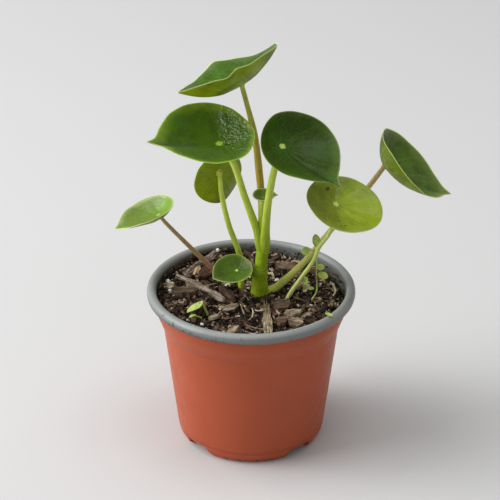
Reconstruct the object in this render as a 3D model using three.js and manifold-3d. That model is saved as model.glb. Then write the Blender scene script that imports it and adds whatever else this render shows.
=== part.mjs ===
// Potted plant: round, pointed leaves on long stalks, growing from bark soil in a moulded pot.
// Millimetres, +Z up. The origin is the centre of the pot's base, and the pot's front faces -Y.

import * as THREE from 'three';
import { mergeVertices } from 'three/addons/utils/BufferGeometryUtils.js';
import Module from 'manifold-3d';

const wasm = await Module();
wasm.setup();

// Driving dimensions of the pot and the soil.
const GAP = 0.3; // clearance between neighbouring pieces
const POT_HEIGHT = 95.4;
const RIM_RADIUS = 60;
const MOUTH_RADIUS = 54.4; // inside, under the rim
const FOOT_RADIUS = 39.4;
const WALL = 1.2;
const ROUND_SIDES = 40;

const CHANNEL = { first: 42, count: 4, width: 16.8, height: 6.2, inner: 16, holeRadius: 3, holeAt: 29 };

const SOIL_LEVEL = 86.5; // at the pot's axis
const SOIL_SLOPE = 0.06; // the soil is heaped up towards the back
const SOIL_RADIUS = 53;

// Leaves: the blade's length, width and thickness, and how it cups. at is where the stalk joins it.
const BLADE_THICKNESS = 1.2;
const BLADE_SIDES = 26;
const BLADE_RINGS = [0, 0.4, 0.72, 0.93]; // shares of the way to the margin
const LEAVES = {
  top: {
    at: [-5.4, 14, 214.4], facing: 159, lean: 29.6, turn: 69.7, length: 65.6, width: 60.4, share: 0.61,
    drop: 0.51, pinch: 0, tip: 2.5, cup: 10.8, fold: 1.8, droop: -6, back: -2.3,
  },
  upper_left: {
    at: [-17, 0, 184.2], facing: -70.5, lean: 15.1, turn: -87.3, length: 57, width: 53.9, share: 0.68,
    drop: 0.41, pinch: 0.2, tip: 4, cup: 9.3, fold: 0.8, droop: -0.8, back: -0.2,
  },
  upper_right: {
    at: [16.6, -2, 184.1], facing: -43.3, lean: 34.6, turn: 4.9, length: 50.3, width: 52.9, share: 0.73,
    drop: 0.34, pinch: 0.19, tip: 5.9, cup: 12.3, fold: -1.6, droop: 0.3, back: -0.2,
  },
  near_right: {
    at: [47, -8, 150.7], facing: -59, lean: 25.7, turn: 45.6, length: 44.4, width: 41, share: 0.61,
    drop: 0, pinch: 0.06, tip: 0, cup: 2.9, fold: 0.6, droop: 0.5, back: -0.1,
  },
  far_right: {
    at: [76.1, 17, 163.2], facing: -3, lean: 49.3, turn: 6.6, length: 52.2, width: 49.1, share: 0.69,
    drop: 0.18, pinch: 0.11, tip: 3.8, cup: 11.7, fold: 0.5, droop: -3.4, back: -0.6,
  },
  back: {
    at: [-18.2, 18, 158.2], facing: 124.2, lean: 82.3, turn: -20.7, length: 39, width: 31.7, share: 0.73,
    drop: 0.57, pinch: 0, tip: 0, cup: 4.2, fold: -0.7, droop: -3.1, back: -0.3,
  },
  left: {
    at: [-52.9, 20, 130.2], facing: 184, lean: 19.3, turn: 13.3, length: 35.4, width: 32.9, share: 0.69,
    drop: 0.18, pinch: 0, tip: 2.6, cup: 5.7, fold: 0.8, droop: 1.5, back: 0.4,
  },
  low: {
    at: [-8, 3, 103], facing: -93, lean: 19.6, turn: -54.3, length: 24.3, width: 22.3, share: 0.65,
    drop: 0.33, pinch: 0.05, tip: 0.5, cup: 3.5, fold: 0, droop: 0.2, back: -0.2,
  },
  young: {
    at: [6.5, 5, 148.8], facing: -90, lean: 25, turn: 90, length: 13.5, width: 9.5, share: 0.58,
    drop: 0.4, pinch: 0.1, tip: 1, cup: 2.6, fold: 0.4, droop: 0, back: 0,
  },
};

// Stems and stalks: centre line from the root end up, and the radius at each of its points.
const STALK_SIDES = 8;
const STEPS_PER_SPAN = 2;
const MAIN_STEM = {
  points: [[4, 7, 62], [5, 6, 78], [5, 6, 88], [5, 6, 97], [5.3, 6.4, 101], [5.5, 6.6, 103], [6.2, 6.8, 110],
    [6.8, 7, 119]],
  radii: [2, 3.6, 4.7, 4.1, 4.5, 3.6, 3.5, 3.8],
};
const STALKS = {
  top: {
    points: [[6.7, 9.2, 119], [6.2, 10.6, 141], [4.7, 12.4, 160], [2.2, 13.8, 182], [-2.8, 14, 204],
      [-5.4, 14, 214.4]],
    radii: [2.3, 2.2, 2.1, 1.9, 1.45, 1.3],
  },
  upper_left: {
    points: [[5.2, 6.2, 120], [3, 5.3, 129], [-3.5, 3.3, 150], [-9.9, 1.3, 172], [-17, 0, 184.2]],
    radii: [2.2, 2.1, 2, 1.9, 1.6],
  },
  upper_right: {
    points: [[7.8, 6, 120], [8.4, 0.8, 133], [9.2, -2.2, 146], [10.7, -3, 158], [13, -3, 170], [16.6, -2, 184.1]],
    radii: [2.4, 2.3, 2.2, 2.1, 1.9, 1.6],
  },
  young: {
    points: [[6, 5.6, 122], [5.8, 5.2, 133], [5.9, 5, 142], [6.5, 5, 148.8]],
    radii: [1.6, 1.6, 1.6, 1.5],
  },
  low: {
    points: [[4.5, 6.6, 100], [-1.2, 5.2, 99.6], [-4.6, 4, 101], [-8, 3, 103]],
    radii: [1.6, 1.3, 1.2, 1.1],
  },
  far_right: {
    points: [[6, 7, 87.4], [11, 8, 87.6], [16.6, 9, 90.6], [32, 10.6, 106.2], [49.6, 13.5, 129], [65, 16, 147.6],
      [76.1, 17, 163.2]],
    radii: [2, 2.4, 2.3, 1.9, 1.65, 1.6, 1.4],
  },
  near_right: {
    points: [[15, 3, 66], [21.2, 0.4, 86.5], [29, -1.5, 101], [36, -3, 113.4], [38.4, -4, 121.4], [44.6, -6.5, 133],
      [47, -8, 150.7]],
    radii: [1.1, 1.3, 1.25, 1.2, 1.15, 1.1, 1.05],
  },
  back: {
    points: [[-5, 9, 66], [-5.7, 11.3, 87.2], [-6.2, 16.4, 104], [-12.8, 17.8, 125], [-16.7, 18, 143.6],
      [-18.2, 18, 158.2]],
    radii: [1.2, 1.8, 1.7, 1.6, 1.5, 1.3],
  },
  left: {
    points: [[-3, 17, 70], [-11.1, 19, 87.6], [-22.7, 20, 96], [-35.9, 20.5, 109.8], [-49, 20.3, 124.8],
      [-52.9, 20, 130.2]],
    radii: [1.1, 1.6, 1.5, 1.3, 1.15, 1.1],
  },
};

// Weeds that grow in the pot: a stem with small blades joined to it.
const WEED_BLADE = {
  share: 0.9, drop: 0.2, pinch: 0, tip: 0, cup: 0.5, fold: 0, droop: 0, back: 0, thickness: 0.9, sides: 10,
  rings: [0, 0.7],
};
const WEEDS = {
  weed_right: {
    stems: [
      { points: [[34, -3, 76], [34.8, -2.8, 86.3], [37.7, -1.4, 91.7], [37.6, 1, 102], [37.8, 2.8, 111], [38, 4, 119]],
        radii: [0.4, 0.5, 0.5, 0.45, 0.45, 0.4] },
      { points: [[37.8, 3.4, 115], [35.5, 3.2, 116], [32.6, 3.1, 116.5]], radii: [0.4, 0.4, 0.4] },
      { points: [[37.5, 1.6, 104.4], [38, 0.9, 106], [38.6, 0.5, 107]], radii: [0.4, 0.4, 0.4] },
      { points: [[37.6, 1, 101.8], [38.4, -0.6, 102.6], [39.6, -1.2, 103]], radii: [0.4, 0.4, 0.4] },
    ],
    blades: [
      { at: [38, 4, 118.6], facing: -90, lean: 62, turn: -168, length: 7.6, width: 4.8 },
      { at: [33.2, 3.1, 116.4], facing: -90, lean: 60, turn: -75, length: 5.2, width: 4.8 },
      { at: [38.2, 0.6, 106.8], facing: -90, lean: 35, turn: 75, length: 4.4, width: 4 },
      { at: [39.1, -1, 102.8], facing: -90, lean: 30, turn: 66, length: 6, width: 4.6 },
    ],
  },
  weed_shoot: {
    stems: [
      { points: [[30, 9, 78], [30.8, 8, 87], [31.2, 6, 91], [31.2, 4.4, 93.6]], radii: [0.4, 0.5, 0.5, 0.4] },
      { points: [[30.9, 7.6, 88], [32.4, 7, 89], [33.4, 6.4, 89.6]], radii: [0.4, 0.4, 0.4] },
    ],
    blades: [
      { at: [31.2, 4.6, 93.2], facing: -90, lean: 55, turn: 170, length: 5, width: 3 },
      { at: [33.1, 6.5, 89.6], facing: -90, lean: 20, turn: 80, length: 4, width: 2.4 },
    ],
  },
  sprout_left: {
    stems: [
      { points: [[-23, -18, 76], [-24.5, -19, 85.4], [-25.9, -19.6, 90], [-27.4, -20, 93.6], [-29.4, -20.3, 94.8]],
        radii: [0.5, 0.6, 0.6, 0.6, 0.5] },
    ],
    blades: [
      { at: [-28.4, -20.2, 94.6], facing: 200, lean: 20, turn: -10, length: 9.5, width: 6, droop: 3.5, fold: -1.4 },
    ],
  },
};

// Twigs and fibres lie on the soil. Each ends on it and sags a little into it.
const LOOSE_STALKS = {
  twig_long: { points: [[-43, 21.5, 88.9], [-34, 13.5, 88.6], [-25, 5, 88.2], [-16, -4, 87.4]],
    radii: [1.7, 2, 1.9, 1.9], sides: 7 },
  twig_back: { points: [[-37.5, 26, 88.8], [-28, 37, 90.2], [-21.5, 45.5, 91.6]], radii: [2.4, 2.6, 2], sides: 7 },
  root_fibre: { points: [[-3.6, 1, 87.2], [-5.3, -5.6, 86.9], [-5.5, -10.4, 86.6], [-4, -16.4, 86], [-3, -21, 85.4]],
    radii: [0.8, 0.6, 0.5, 0.5, 0.6], sides: 6 },
};

// Bark flakes: place, size along, across and thick, turn about +Z and tilt about the long side.
const FLAKES = {
  bark_strip: { at: [9.6, -24.4], size: [37, 7.6, 2.2], turn: 91, tilt: 4, corners: 6 },
  bark_pink: { at: [-26.8, 25], size: [13, 7, 3], turn: 62, tilt: 18, corners: 5 },
  bark_oval: { at: [-38.4, 4], size: [13, 10, 3.2], turn: 8, tilt: -8, corners: 8 },
  bark_lump: { at: [-31.5, -14.5], size: [7, 6, 5], turn: 30, tilt: 12, corners: 7 },
  bark_red: { at: [-14, 4.5], size: [15, 6, 2.6], turn: 118, tilt: 14, corners: 5 },
  bark_pale: { at: [-21, -23.4], size: [6, 4, 1.8], turn: 40, tilt: -20, corners: 4 },
  bark_splinter: { at: [-12, -13], size: [10, 4, 1.8], turn: 35, tilt: 16, corners: 5 },
  bark_dark: { at: [17.4, -10.4], size: [10, 8.6, 2.4], turn: 12, tilt: 6, corners: 5 },
  bark_tan: { at: [24, -18.4], size: [9.5, 8, 2.6], turn: 24, tilt: -10, corners: 5 },
  bark_round: { at: [17.6, -27], size: [6, 5.6, 3.4], turn: 0, tilt: 8, corners: 7 },
  bark_front: { at: [25.5, -30], size: [8.5, 6.5, 2.6], turn: -24, tilt: 10, corners: 5 },
  bark_behind: { at: [21, 31], size: [12, 7, 2.6], turn: -12, tilt: 14, corners: 6 },
};
const FLAKE_RAGGED = 0.16; // how far the outline leaves an ellipse, as a share of its size

// White grains of perlite: place and radius.
const GRAINS = {
  perlite_centre: { at: [-13.4, 13], radius: 1.6 },
  perlite_stem: { at: [-2.6, 13.4], radius: 1.1 },
  perlite_right: { at: [15.2, 17.9], radius: 1.5 },
  perlite_left: { at: [-48.4, 14], radius: 1.5 },
  perlite_low: { at: [-47, 5], radius: 1.6 },
};

const COLOURS = {
  pot: 0xa5533a,
  soil: 0x3b2a20,
  stem: 0x7fa02a,
  stalk: 0x8fa548,
  leaf: 0x4a7a2a,
  weed: 0x8fae4e,
  twig: 0x7c6a5c,
  bark: 0x6a4f3c,
  grain: 0xece6dc,
};

// A closed mesh as a solid: shared corners are merged, empty triangles dropped and faces turned outwards.
function solid(geometry) {
  geometry.deleteAttribute('normal');
  geometry.deleteAttribute('uv');
  const merged = mergeVertices(geometry, 1e-4);
  const place = merged.attributes.position;
  const corners = [];
  const a = new THREE.Vector3();
  const b = new THREE.Vector3();
  const c = new THREE.Vector3();
  let volume = 0;
  for (let i = 0; i < merged.index.count; i += 3) {
    const triangle = [merged.index.getX(i), merged.index.getX(i + 1), merged.index.getX(i + 2)];
    if (new Set(triangle).size < 3) continue;
    a.fromBufferAttribute(place, triangle[0]);
    b.fromBufferAttribute(place, triangle[1]);
    c.fromBufferAttribute(place, triangle[2]);
    volume += a.dot(b.cross(c));
    corners.push(...triangle);
  }
  if (volume < 0) corners.reverse();
  return new wasm.Manifold(new wasm.Mesh({
    numProp: 3,
    vertProperties: new Float32Array(place.array),
    triVerts: Uint32Array.from(corners),
  }));
}

function toGeometry(body) {
  const { numProp, vertProperties, triVerts } = body.getMesh();
  const places = new Float32Array((vertProperties.length / numProp) * 3);
  for (let i = 0; i < places.length / 3; i += 1) {
    for (let axis = 0; axis < 3; axis += 1) places[3 * i + axis] = vertProperties[numProp * i + axis];
  }
  const geometry = new THREE.BufferGeometry();
  geometry.setAttribute('position', new THREE.BufferAttribute(places, 3));
  geometry.setIndex(new THREE.BufferAttribute(Uint32Array.from(triVerts), 1));
  return geometry;
}

function moveCorners(geometry, move) {
  const place = geometry.attributes.position;
  const corner = new THREE.Vector3();
  for (let i = 0; i < place.count; i += 1) {
    corner.fromBufferAttribute(place, i);
    move(corner);
    place.setXYZ(i, corner.x, corner.y, corner.z);
  }
  return geometry;
}

// A turned shape about +Z from [radius, height] pairs.
function turned(profile, sides = ROUND_SIDES) {
  const geometry = new THREE.LatheGeometry(profile.map(([r, z]) => new THREE.Vector2(r, z)), sides);
  return geometry.rotateX(Math.PI / 2);
}

// A round bar that follows a curve and whose radius changes along it.
function bar({ points, radii, sides = STALK_SIDES }, grow = 0) {
  const curve = new THREE.CatmullRomCurve3(points.map((point) => new THREE.Vector3(...point)), false, 'centripetal');
  const steps = (points.length - 1) * STEPS_PER_SPAN;
  const rings = [];
  const side = new THREE.Vector3(0, 1, 0);
  for (let i = 0; i <= steps; i += 1) {
    const centre = curve.getPoint(i / steps);
    const along = curve.getTangent(i / steps);
    side.addScaledVector(along, -side.dot(along)).normalize();
    const span = (i / steps) * (radii.length - 1);
    const low = Math.min(Math.floor(span), radii.length - 2);
    const radius = THREE.MathUtils.lerp(radii[low], radii[low + 1], span - low) + grow;
    if (i === 0) centre.addScaledVector(along, -grow);
    if (i === steps) centre.addScaledVector(along, grow);
    rings.push({ centre, radius, side: side.clone(), across: along.clone().cross(side) });
  }
  const geometry = new THREE.CylinderGeometry(1, 1, 1, sides, steps);
  return moveCorners(geometry, (corner) => {
    const ring = rings[Math.round((corner.y + 0.5) * steps)];
    const { x, z } = corner;
    corner.copy(ring.centre);
    corner.addScaledVector(ring.side, x * ring.radius);
    corner.addScaledVector(ring.across, z * ring.radius);
  });
}

// A point of a blade's middle surface in the blade's own frame: +X to its tip, +Z out of its upper side.
// rho is 0 where the stalk joins and 1 on the margin. angle is 0 at the tip.
function bladePoint(leaf, rho, angle) {
  const { length, width, share, drop, pinch } = leaf;
  const widest = Math.acos(-drop / (2 * (1 + pinch) + drop));
  const fullest = Math.sin(widest) ** (1 + pinch) * Math.sin(widest / 2) ** drop;
  const tip = leaf.tip * Math.exp(-((angle / 0.22) ** 2));
  const x = rho * (length * (share - 0.5) + (length / 2) * Math.cos(angle) + tip);
  const taper = Math.abs(Math.sin(angle)) ** pinch * Math.abs(Math.sin(angle / 2)) ** drop;
  const y = (rho * (width / 2) * Math.sin(angle) * taper) / fullest;
  const ahead = Math.max(x / (length * share), 0);
  const behind = Math.max(-x / (length * (1 - share)), 0);
  const z = leaf.cup * rho ** 2 + leaf.fold * (y / (width / 2)) ** 2 - leaf.droop * ahead ** 3 + leaf.back * behind ** 2;
  return new THREE.Vector3(x, y, z);
}

function bladeNormal(leaf, rho, angle) {
  const step = 0.01;
  const u = rho * Math.cos(angle);
  const v = rho * Math.sin(angle);
  const at = (du, dv) => bladePoint(leaf, Math.hypot(u + du, v + dv), Math.atan2(v + dv, u + du));
  const lengthwise = at(step, 0).sub(at(-step, 0));
  const crosswise = at(0, step).sub(at(0, -step));
  return lengthwise.cross(crosswise).normalize();
}

function bladeFrame({ at, facing, lean, turn }) {
  const spin = (axis, degrees) => new THREE.Matrix4().makeRotationAxis(axis, THREE.MathUtils.degToRad(degrees));
  const up = new THREE.Vector3(0, 0, 1);
  const frame = spin(up, facing).multiply(spin(new THREE.Vector3(0, 1, 0), lean)).multiply(spin(up, turn));
  return frame.setPosition(...at);
}

// A thin cupped blade that thins to its margin.
function blade(leaf, grow = 0) {
  const half = (leaf.thickness ?? BLADE_THICKNESS) / 2 + grow;
  const reach = 1 + (2 * grow) / leaf.length;
  const upper = (leaf.rings ?? BLADE_RINGS).map((rho) => new THREE.Vector2(rho, 1 - 0.25 * rho ** 4));
  const lower = upper.map(({ x, y }) => new THREE.Vector2(x, -y));
  const points = [...lower, new THREE.Vector2(1, 0), ...upper.reverse()];
  const geometry = new THREE.LatheGeometry(points, leaf.sides ?? BLADE_SIDES);
  moveCorners(geometry, (corner) => {
    const rho = Math.hypot(corner.x, corner.z);
    const angle = rho > 1e-6 ? Math.atan2(corner.x, corner.z) : 0;
    const offset = corner.y * half;
    corner.copy(bladePoint(leaf, rho * reach, angle));
    corner.addScaledVector(bladeNormal(leaf, rho, angle), offset);
  });
  return geometry.applyMatrix4(bladeFrame(leaf));
}

function channelAngles() {
  const quarter = 360 / CHANNEL.count;
  return Array.from({ length: CHANNEL.count }, (_, i) => CHANNEL.first + i * quarter);
}

// A radial box from the inner radius outwards, standing on the floor; angle is measured from the pot's front.
function radialBox(angle, inner, width, height, floor) {
  const length = RIM_RADIUS - inner;
  const geometry = new THREE.BoxGeometry(width, length, height - floor);
  geometry.translate(0, -(inner + length / 2), (height + floor) / 2);
  return solid(geometry.rotateZ(THREE.MathUtils.degToRad(angle)));
}

function channelRoof(angle, grow = 0) {
  return radialBox(angle, CHANNEL.inner - WALL - grow, CHANNEL.width + 2 * (WALL + grow), CHANNEL.height + WALL + grow, 0);
}

const POT_OUTSIDE = [
  [FOOT_RADIUS, 0], [41.6, 2.2], [42.8, 5], [43.4, 8.5], [51.3, 76], [52.6, 78.6], [54.8, 81.8], [55.4, 84],
  [56, 90.4], [58.9, 90], [RIM_RADIUS, 91.2], [RIM_RADIUS, 93.4], [59.2, 94.9], [57.8, POT_HEIGHT],
];
const POT_INSIDE = [
  [55.8, POT_HEIGHT], [54.8, 94.6], [MOUTH_RADIUS, 92.8], [54.1, 84.4], [53.4, 82.4], [51.5, 80],
  [50.1, 76.6], [42.2, 8.8], [41.6, 5.6], [40.4, 3], [38.8, WALL],
];

function potSolid() {
  const outside = solid(turned([[0, 0], ...POT_OUTSIDE, [0, POT_HEIGHT]]));
  let pot = solid(turned([[0, 0], ...POT_OUTSIDE, ...POT_INSIDE, [0, WALL]]));
  for (const angle of channelAngles()) pot = pot.add(channelRoof(angle).intersect(outside));
  for (const angle of channelAngles()) {
    pot = pot.subtract(radialBox(angle, CHANNEL.inner, CHANNEL.width, CHANNEL.height, -1));
    const hole = new THREE.CylinderGeometry(CHANNEL.holeRadius, CHANNEL.holeRadius, 4 * WALL, 12);
    hole.rotateX(Math.PI / 2);
    hole.translate(0, -CHANNEL.holeAt, CHANNEL.height);
    pot = pot.subtract(solid(hole.rotateZ(THREE.MathUtils.degToRad(angle))));
  }
  return pot;
}

// Height of the soil's surface, with low mounds.
function soilHeight(x, y) {
  const mounds = 0.6 * Math.sin(x / 7 + 1) * Math.cos(y / 9) + 0.5 * Math.sin(x / 4.3 - y / 5.1 + 2);
  return SOIL_LEVEL + SOIL_SLOPE * y + mounds;
}

function soilSolid() {
  const below = POT_INSIDE.slice(5).reverse().map(([r, z]) => [r - 1.2 * GAP, z + GAP]);
  const top = [SOIL_RADIUS, 46, 38, 30, 22, 14, 7, 0].map((r) => [r, SOIL_LEVEL]);
  const geometry = turned([[0, WALL + GAP], ...below, [52.6, 81.8], ...top]);
  moveCorners(geometry, (corner) => {
    if (corner.z > SOIL_LEVEL - 0.1) corner.z = soilHeight(corner.x, corner.y);
  });
  let soil = solid(geometry);
  for (const angle of channelAngles()) soil = soil.subtract(channelRoof(angle, GAP));
  return soil;
}

function weed({ stems, blades }, grow = 0) {
  const shapes = stems.map((stem) => bar({ ...stem, sides: 5 }, grow));
  shapes.push(...blades.map((shape) => blade({ ...WEED_BLADE, ...shape }, grow)));
  return shapes.map(solid).reduce((whole, shape) => whole.add(shape));
}

// A flat flake with a ragged outline, half sunk in the soil.
function flake({ at, size, turn, tilt, corners }, grow = 0) {
  const [length, width, thickness] = size;
  const outline = Array.from({ length: corners }, (_, i) => {
    const angle = ((i + 0.5) / corners) * 2 * Math.PI;
    const ragged = 1 + FLAKE_RAGGED * Math.sin(2.3 * i + length);
    return new THREE.Vector2(
      Math.cos(angle) * ragged * (length / 2 + grow),
      Math.sin(angle) * ragged * (width / 2 + grow),
    );
  });
  const depth = thickness + 2 * grow;
  const geometry = new THREE.ExtrudeGeometry(new THREE.Shape(outline), { depth, bevelEnabled: false });
  geometry.translate(0, 0, -depth / 2);
  geometry.rotateX(THREE.MathUtils.degToRad(tilt));
  geometry.rotateZ(THREE.MathUtils.degToRad(turn));
  return geometry.translate(at[0], at[1], soilHeight(...at) + 0.2 * thickness);
}

function grain({ at, radius }, grow = 0) {
  const geometry = new THREE.DodecahedronGeometry(radius + grow);
  geometry.scale(1.15, 0.95, 0.85);
  return geometry.translate(at[0], at[1], soilHeight(...at) + 0.3 * radius);
}

// A scrap of leaf that fell on the rim's flat top.
function rimScrap(grow = 0) {
  const geometry = new THREE.CylinderGeometry(1.9 + grow, 2.1 + grow, 0.8 + 2 * grow, 7);
  geometry.rotateX(Math.PI / 2);
  geometry.scale(1.3, 0.7, 1);
  geometry.rotateZ(THREE.MathUtils.degToRad(-40));
  return geometry.translate(43.6, -36.6, POT_HEIGHT + GAP + 0.4);
}

// Every piece, those that keep their whole shape first: a later piece is cut back from the earlier ones.
function pieces() {
  const list = [];
  const put = (name, colour, make) => list.push({ name, colour, make });
  put('main_stem', COLOURS.stem, (grow) => solid(bar({ ...MAIN_STEM, sides: 12 }, grow)));
  for (const [name, leaf] of Object.entries(LEAVES)) {
    put(`leaf_${name}`, COLOURS.leaf, (grow) => solid(blade(leaf, grow)));
  }
  for (const [name, stalk] of Object.entries(STALKS)) {
    put(`stalk_${name}`, COLOURS.stalk, (grow) => solid(bar(stalk, grow)));
  }
  for (const [name, shape] of Object.entries(WEEDS)) put(name, COLOURS.weed, (grow) => weed(shape, grow));
  for (const [name, shape] of Object.entries(LOOSE_STALKS)) {
    put(name, COLOURS.twig, (grow) => solid(bar(shape, grow)));
  }
  for (const [name, shape] of Object.entries(FLAKES)) put(name, COLOURS.bark, (grow) => solid(flake(shape, grow)));
  for (const [name, shape] of Object.entries(GRAINS)) put(name, COLOURS.grain, (grow) => solid(grain(shape, grow)));
  put('rim_scrap', COLOURS.weed, (grow) => solid(rimScrap(grow)));
  put('potting_soil', COLOURS.soil, soilSolid);
  return list;
}

function boxesMeet(a, b) {
  return [0, 1, 2].every((axis) => a.min[axis] < b.max[axis] && b.min[axis] < a.max[axis]);
}

function largestPart(body) {
  return body.decompose().reduce((best, part) => (part.volume() > best.volume() ? part : best));
}

function toMesh(name, colour, body) {
  const material = new THREE.MeshStandardMaterial({ color: colour, roughness: 0.6, metalness: 0 });
  const mesh = new THREE.Mesh(toGeometry(body), material);
  mesh.name = name;
  return mesh;
}

function build() {
  const plant = new THREE.Group();
  plant.add(toMesh('nursery_pot', COLOURS.pot, potSolid()));
  const cutters = [];
  for (const { name, colour, make } of pieces()) {
    let body = make(0);
    for (const cutter of cutters) {
      if (boxesMeet(cutter.boundingBox(), body.boundingBox())) body = body.subtract(cutter);
    }
    plant.add(toMesh(name, colour, largestPart(body)));
    cutters.push(make(GAP));
  }
  return plant;
}

export default build();
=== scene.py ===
"""Young houseplant in a moulded nursery pot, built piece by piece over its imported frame."""
import math
import random

import bmesh
import bpy
from bpy.props import FloatProperty, FloatVectorProperty, IntProperty, PointerProperty
from mathutils import Matrix, Vector, noise
from mathutils.geometry import interpolate_bezier


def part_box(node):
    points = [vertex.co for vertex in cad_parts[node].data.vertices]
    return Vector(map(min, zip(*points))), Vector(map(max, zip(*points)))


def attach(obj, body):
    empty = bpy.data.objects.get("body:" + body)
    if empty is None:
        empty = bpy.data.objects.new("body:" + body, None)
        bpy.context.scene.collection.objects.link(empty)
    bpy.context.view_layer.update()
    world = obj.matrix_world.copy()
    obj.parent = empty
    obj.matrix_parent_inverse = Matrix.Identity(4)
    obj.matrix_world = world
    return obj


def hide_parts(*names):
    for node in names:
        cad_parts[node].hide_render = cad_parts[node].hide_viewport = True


bl_info = {
    "name": "Potted houseplant",
    "version": (1, 0, 0),
    "blender": (4, 5, 0),
    "location": "View3D > Sidebar > Houseplant",
    "description": "Builds a young houseplant with round, pointed leaves in its nursery pot",
    "category": "Add Mesh",
}

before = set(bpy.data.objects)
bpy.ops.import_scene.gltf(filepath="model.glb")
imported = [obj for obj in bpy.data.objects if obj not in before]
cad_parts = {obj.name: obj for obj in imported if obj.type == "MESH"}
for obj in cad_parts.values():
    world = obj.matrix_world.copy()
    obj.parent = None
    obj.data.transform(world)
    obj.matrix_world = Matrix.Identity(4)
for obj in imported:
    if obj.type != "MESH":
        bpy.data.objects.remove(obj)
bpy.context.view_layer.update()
POT_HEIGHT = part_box("nursery_pot")[1].z
MM = 0.001


def paint(red, green, blue):
    """The linear colour for the usual 0 to 255 values."""
    shares = [value / 255 for value in (red, green, blue)]
    return tuple(s / 12.92 if s <= 0.04045 else ((s + 0.055) / 1.055) ** 2.4 for s in shares)


# ---------------------------------------------------------------- what a user may change


def length_option(name, text, default):
    return FloatProperty(name=name, description=text, default=default, min=0, unit="LENGTH", precision=4)


def colour_option(name, text, default):
    return FloatVectorProperty(name=name, description=text, default=default, min=0, max=1, subtype="COLOR")


class HouseplantPot(bpy.types.PropertyGroup):
    sheet: length_option("Sheet", "Thickness of the moulded plastic sheet", 1.1 * MM)
    outside: colour_option("Outside", "Colour of the sheet's outer layer", paint(176, 80, 45))
    inside: colour_option("Inside", "The sheet's inner layer and the rolled rim", paint(133, 136, 134))


class HouseplantLeaves(bpy.types.PropertyGroup):
    thickness: length_option("Blade thickness", "Thickness of a blade near its stalk", 1.0 * MM)
    dark: colour_option("Old blade", "Upper side of the oldest leaves", paint(57, 88, 4))
    fresh: colour_option("Fresh blade", "Upper side of the young leaves", paint(108, 138, 24))
    olive: colour_option("Mottled blade", "Upper side of the ageing leaf", paint(148, 163, 6))
    shaded: colour_option("Other blades", "Upper side of the leaves between", paint(75, 101, 14))
    glossy: colour_option("Glossy blade", "Upper side of the glossiest leaf", paint(78, 112, 16))
    under: colour_option("Underside", "Lower side of every blade", paint(142, 164, 8))
    margin: colour_option("Margin", "Thin rim of a blade", paint(190, 208, 112))


class HouseplantStems(bpy.types.PropertyGroup):
    green: colour_option("Stem", "Main stem and the stalks' lower parts", paint(148, 176, 10))
    pale: colour_option("Pale stalk", "Upper parts of the green stalks", paint(216, 230, 96))
    tan: colour_option("Tan stalk", "Upper parts of the older stalks", paint(180, 140, 104))


class HouseplantSoil(bpy.types.PropertyGroup):
    seed: IntProperty(name="Seed", description="Another number strews the chips anew", default=4, min=0)
    chips: IntProperty(name="Chips", description="How many bark chips lie on the soil", default=1050, min=0)
    crumbs: IntProperty(name="Crumbs", description="How many crumbs lie on the soil", default=3600, min=0)
    dark: colour_option("Peat", "The dark crumbs", paint(38, 28, 20))
    bark: colour_option("Bark", "Most of the chips", paint(128, 105, 84))
    split: colour_option("Split bark", "Freshly split, pale chips", paint(220, 204, 176))


class HouseplantLoose(bpy.types.PropertyGroup):
    twig: colour_option("Twig", "Weathered twigs", paint(160, 144, 130))
    grain: colour_option("Perlite", "White expanded grains", paint(248, 245, 238))
    weed: colour_option("Weed", "The small plants that came up in the pot", paint(186, 206, 104))


class HouseplantStage(bpy.types.PropertyGroup):
    floor: colour_option("Floor", "The surface under the pot", paint(213, 213, 213))
    window: FloatProperty(name="Window light", description="Strength of the soft light at the left",
                          default=82, min=0, unit="POWER")


OPTIONS = {
    "houseplant_pot": HouseplantPot,
    "houseplant_leaves": HouseplantLeaves,
    "houseplant_stems": HouseplantStems,
    "houseplant_soil": HouseplantSoil,
    "houseplant_loose": HouseplantLoose,
    "houseplant_stage": HouseplantStage,
}

# ---------------------------------------------------------------- the plant's measures, in millimetres

# Blades: at is where the stalk joins, and the outline and the cup follow blade_point.
LEAF_MEASURES = ("at", "facing", "lean", "turn", "length", "width", "share", "drop", "pinch", "tip", "cup",
                 "fold", "droop", "back", "quilt")
LEAF_ROWS = {
    "top": ((-5.4, 14, 214.4), 159, 29.6, 69.7, 65.6, 60.4, 0.61, 0.51, 0, 2.5, 10.8, 1.8, -5.6, -1.1),
    "upper_left": ((-17, 0, 184.2), -70.5, 15.1, -87.3, 57, 53.9, 0.68, 0.41, 0.2, 5.2, 9.3, 0.8, -0.8, -0.2,
                   1.1),
    "upper_right": ((16.6, -2, 184.1), -43.3, 34.6, 4.9, 50.3, 52.9, 0.73, 0.34, 0.19, 5.9, 12.3, -1.6, 0.3,
                    -0.2, 0.4),
    "near_right": ((47, -8, 150.7), -59, 25.7, 45.6, 44.4, 41, 0.61, 0, 0.06, 0, 2.9, 0.6, 0.5, -0.1),
    "far_right": ((76.1, 17, 163.2), -3, 49.3, 6.6, 52.2, 49.1, 0.69, 0.18, 0.11, 3.8, 11.7, 0.5, -3.4, -0.6),
    "back": ((-18.2, 18, 158.2), 124.2, 82.3, -20.7, 39, 31.7, 0.73, 0.57, 0, 0, 4.2, -0.7, -3.1, -0.3),
    "left": ((-52.9, 20, 130.2), 184, 19.3, 13.3, 35.4, 32.9, 0.69, 0.18, 0, 2.6, 5.7, 0.8, 1.5, 0.4),
    "low": ((-8, 3, 103), -93, 19.6, -54.3, 24.3, 22.3, 0.65, 0.33, 0.05, 0.5, 3.5, 0, 0.2, -0.2),
    "young": ((6.5, 5, 148.8), -90, 25, 90, 13.5, 9.5, 0.58, 0.4, 0.1, 1, 2.6, 0.4, 0, 0),
}
LEAVES = {name: dict(zip(LEAF_MEASURES, row)) for name, row in LEAF_ROWS.items()}
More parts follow.
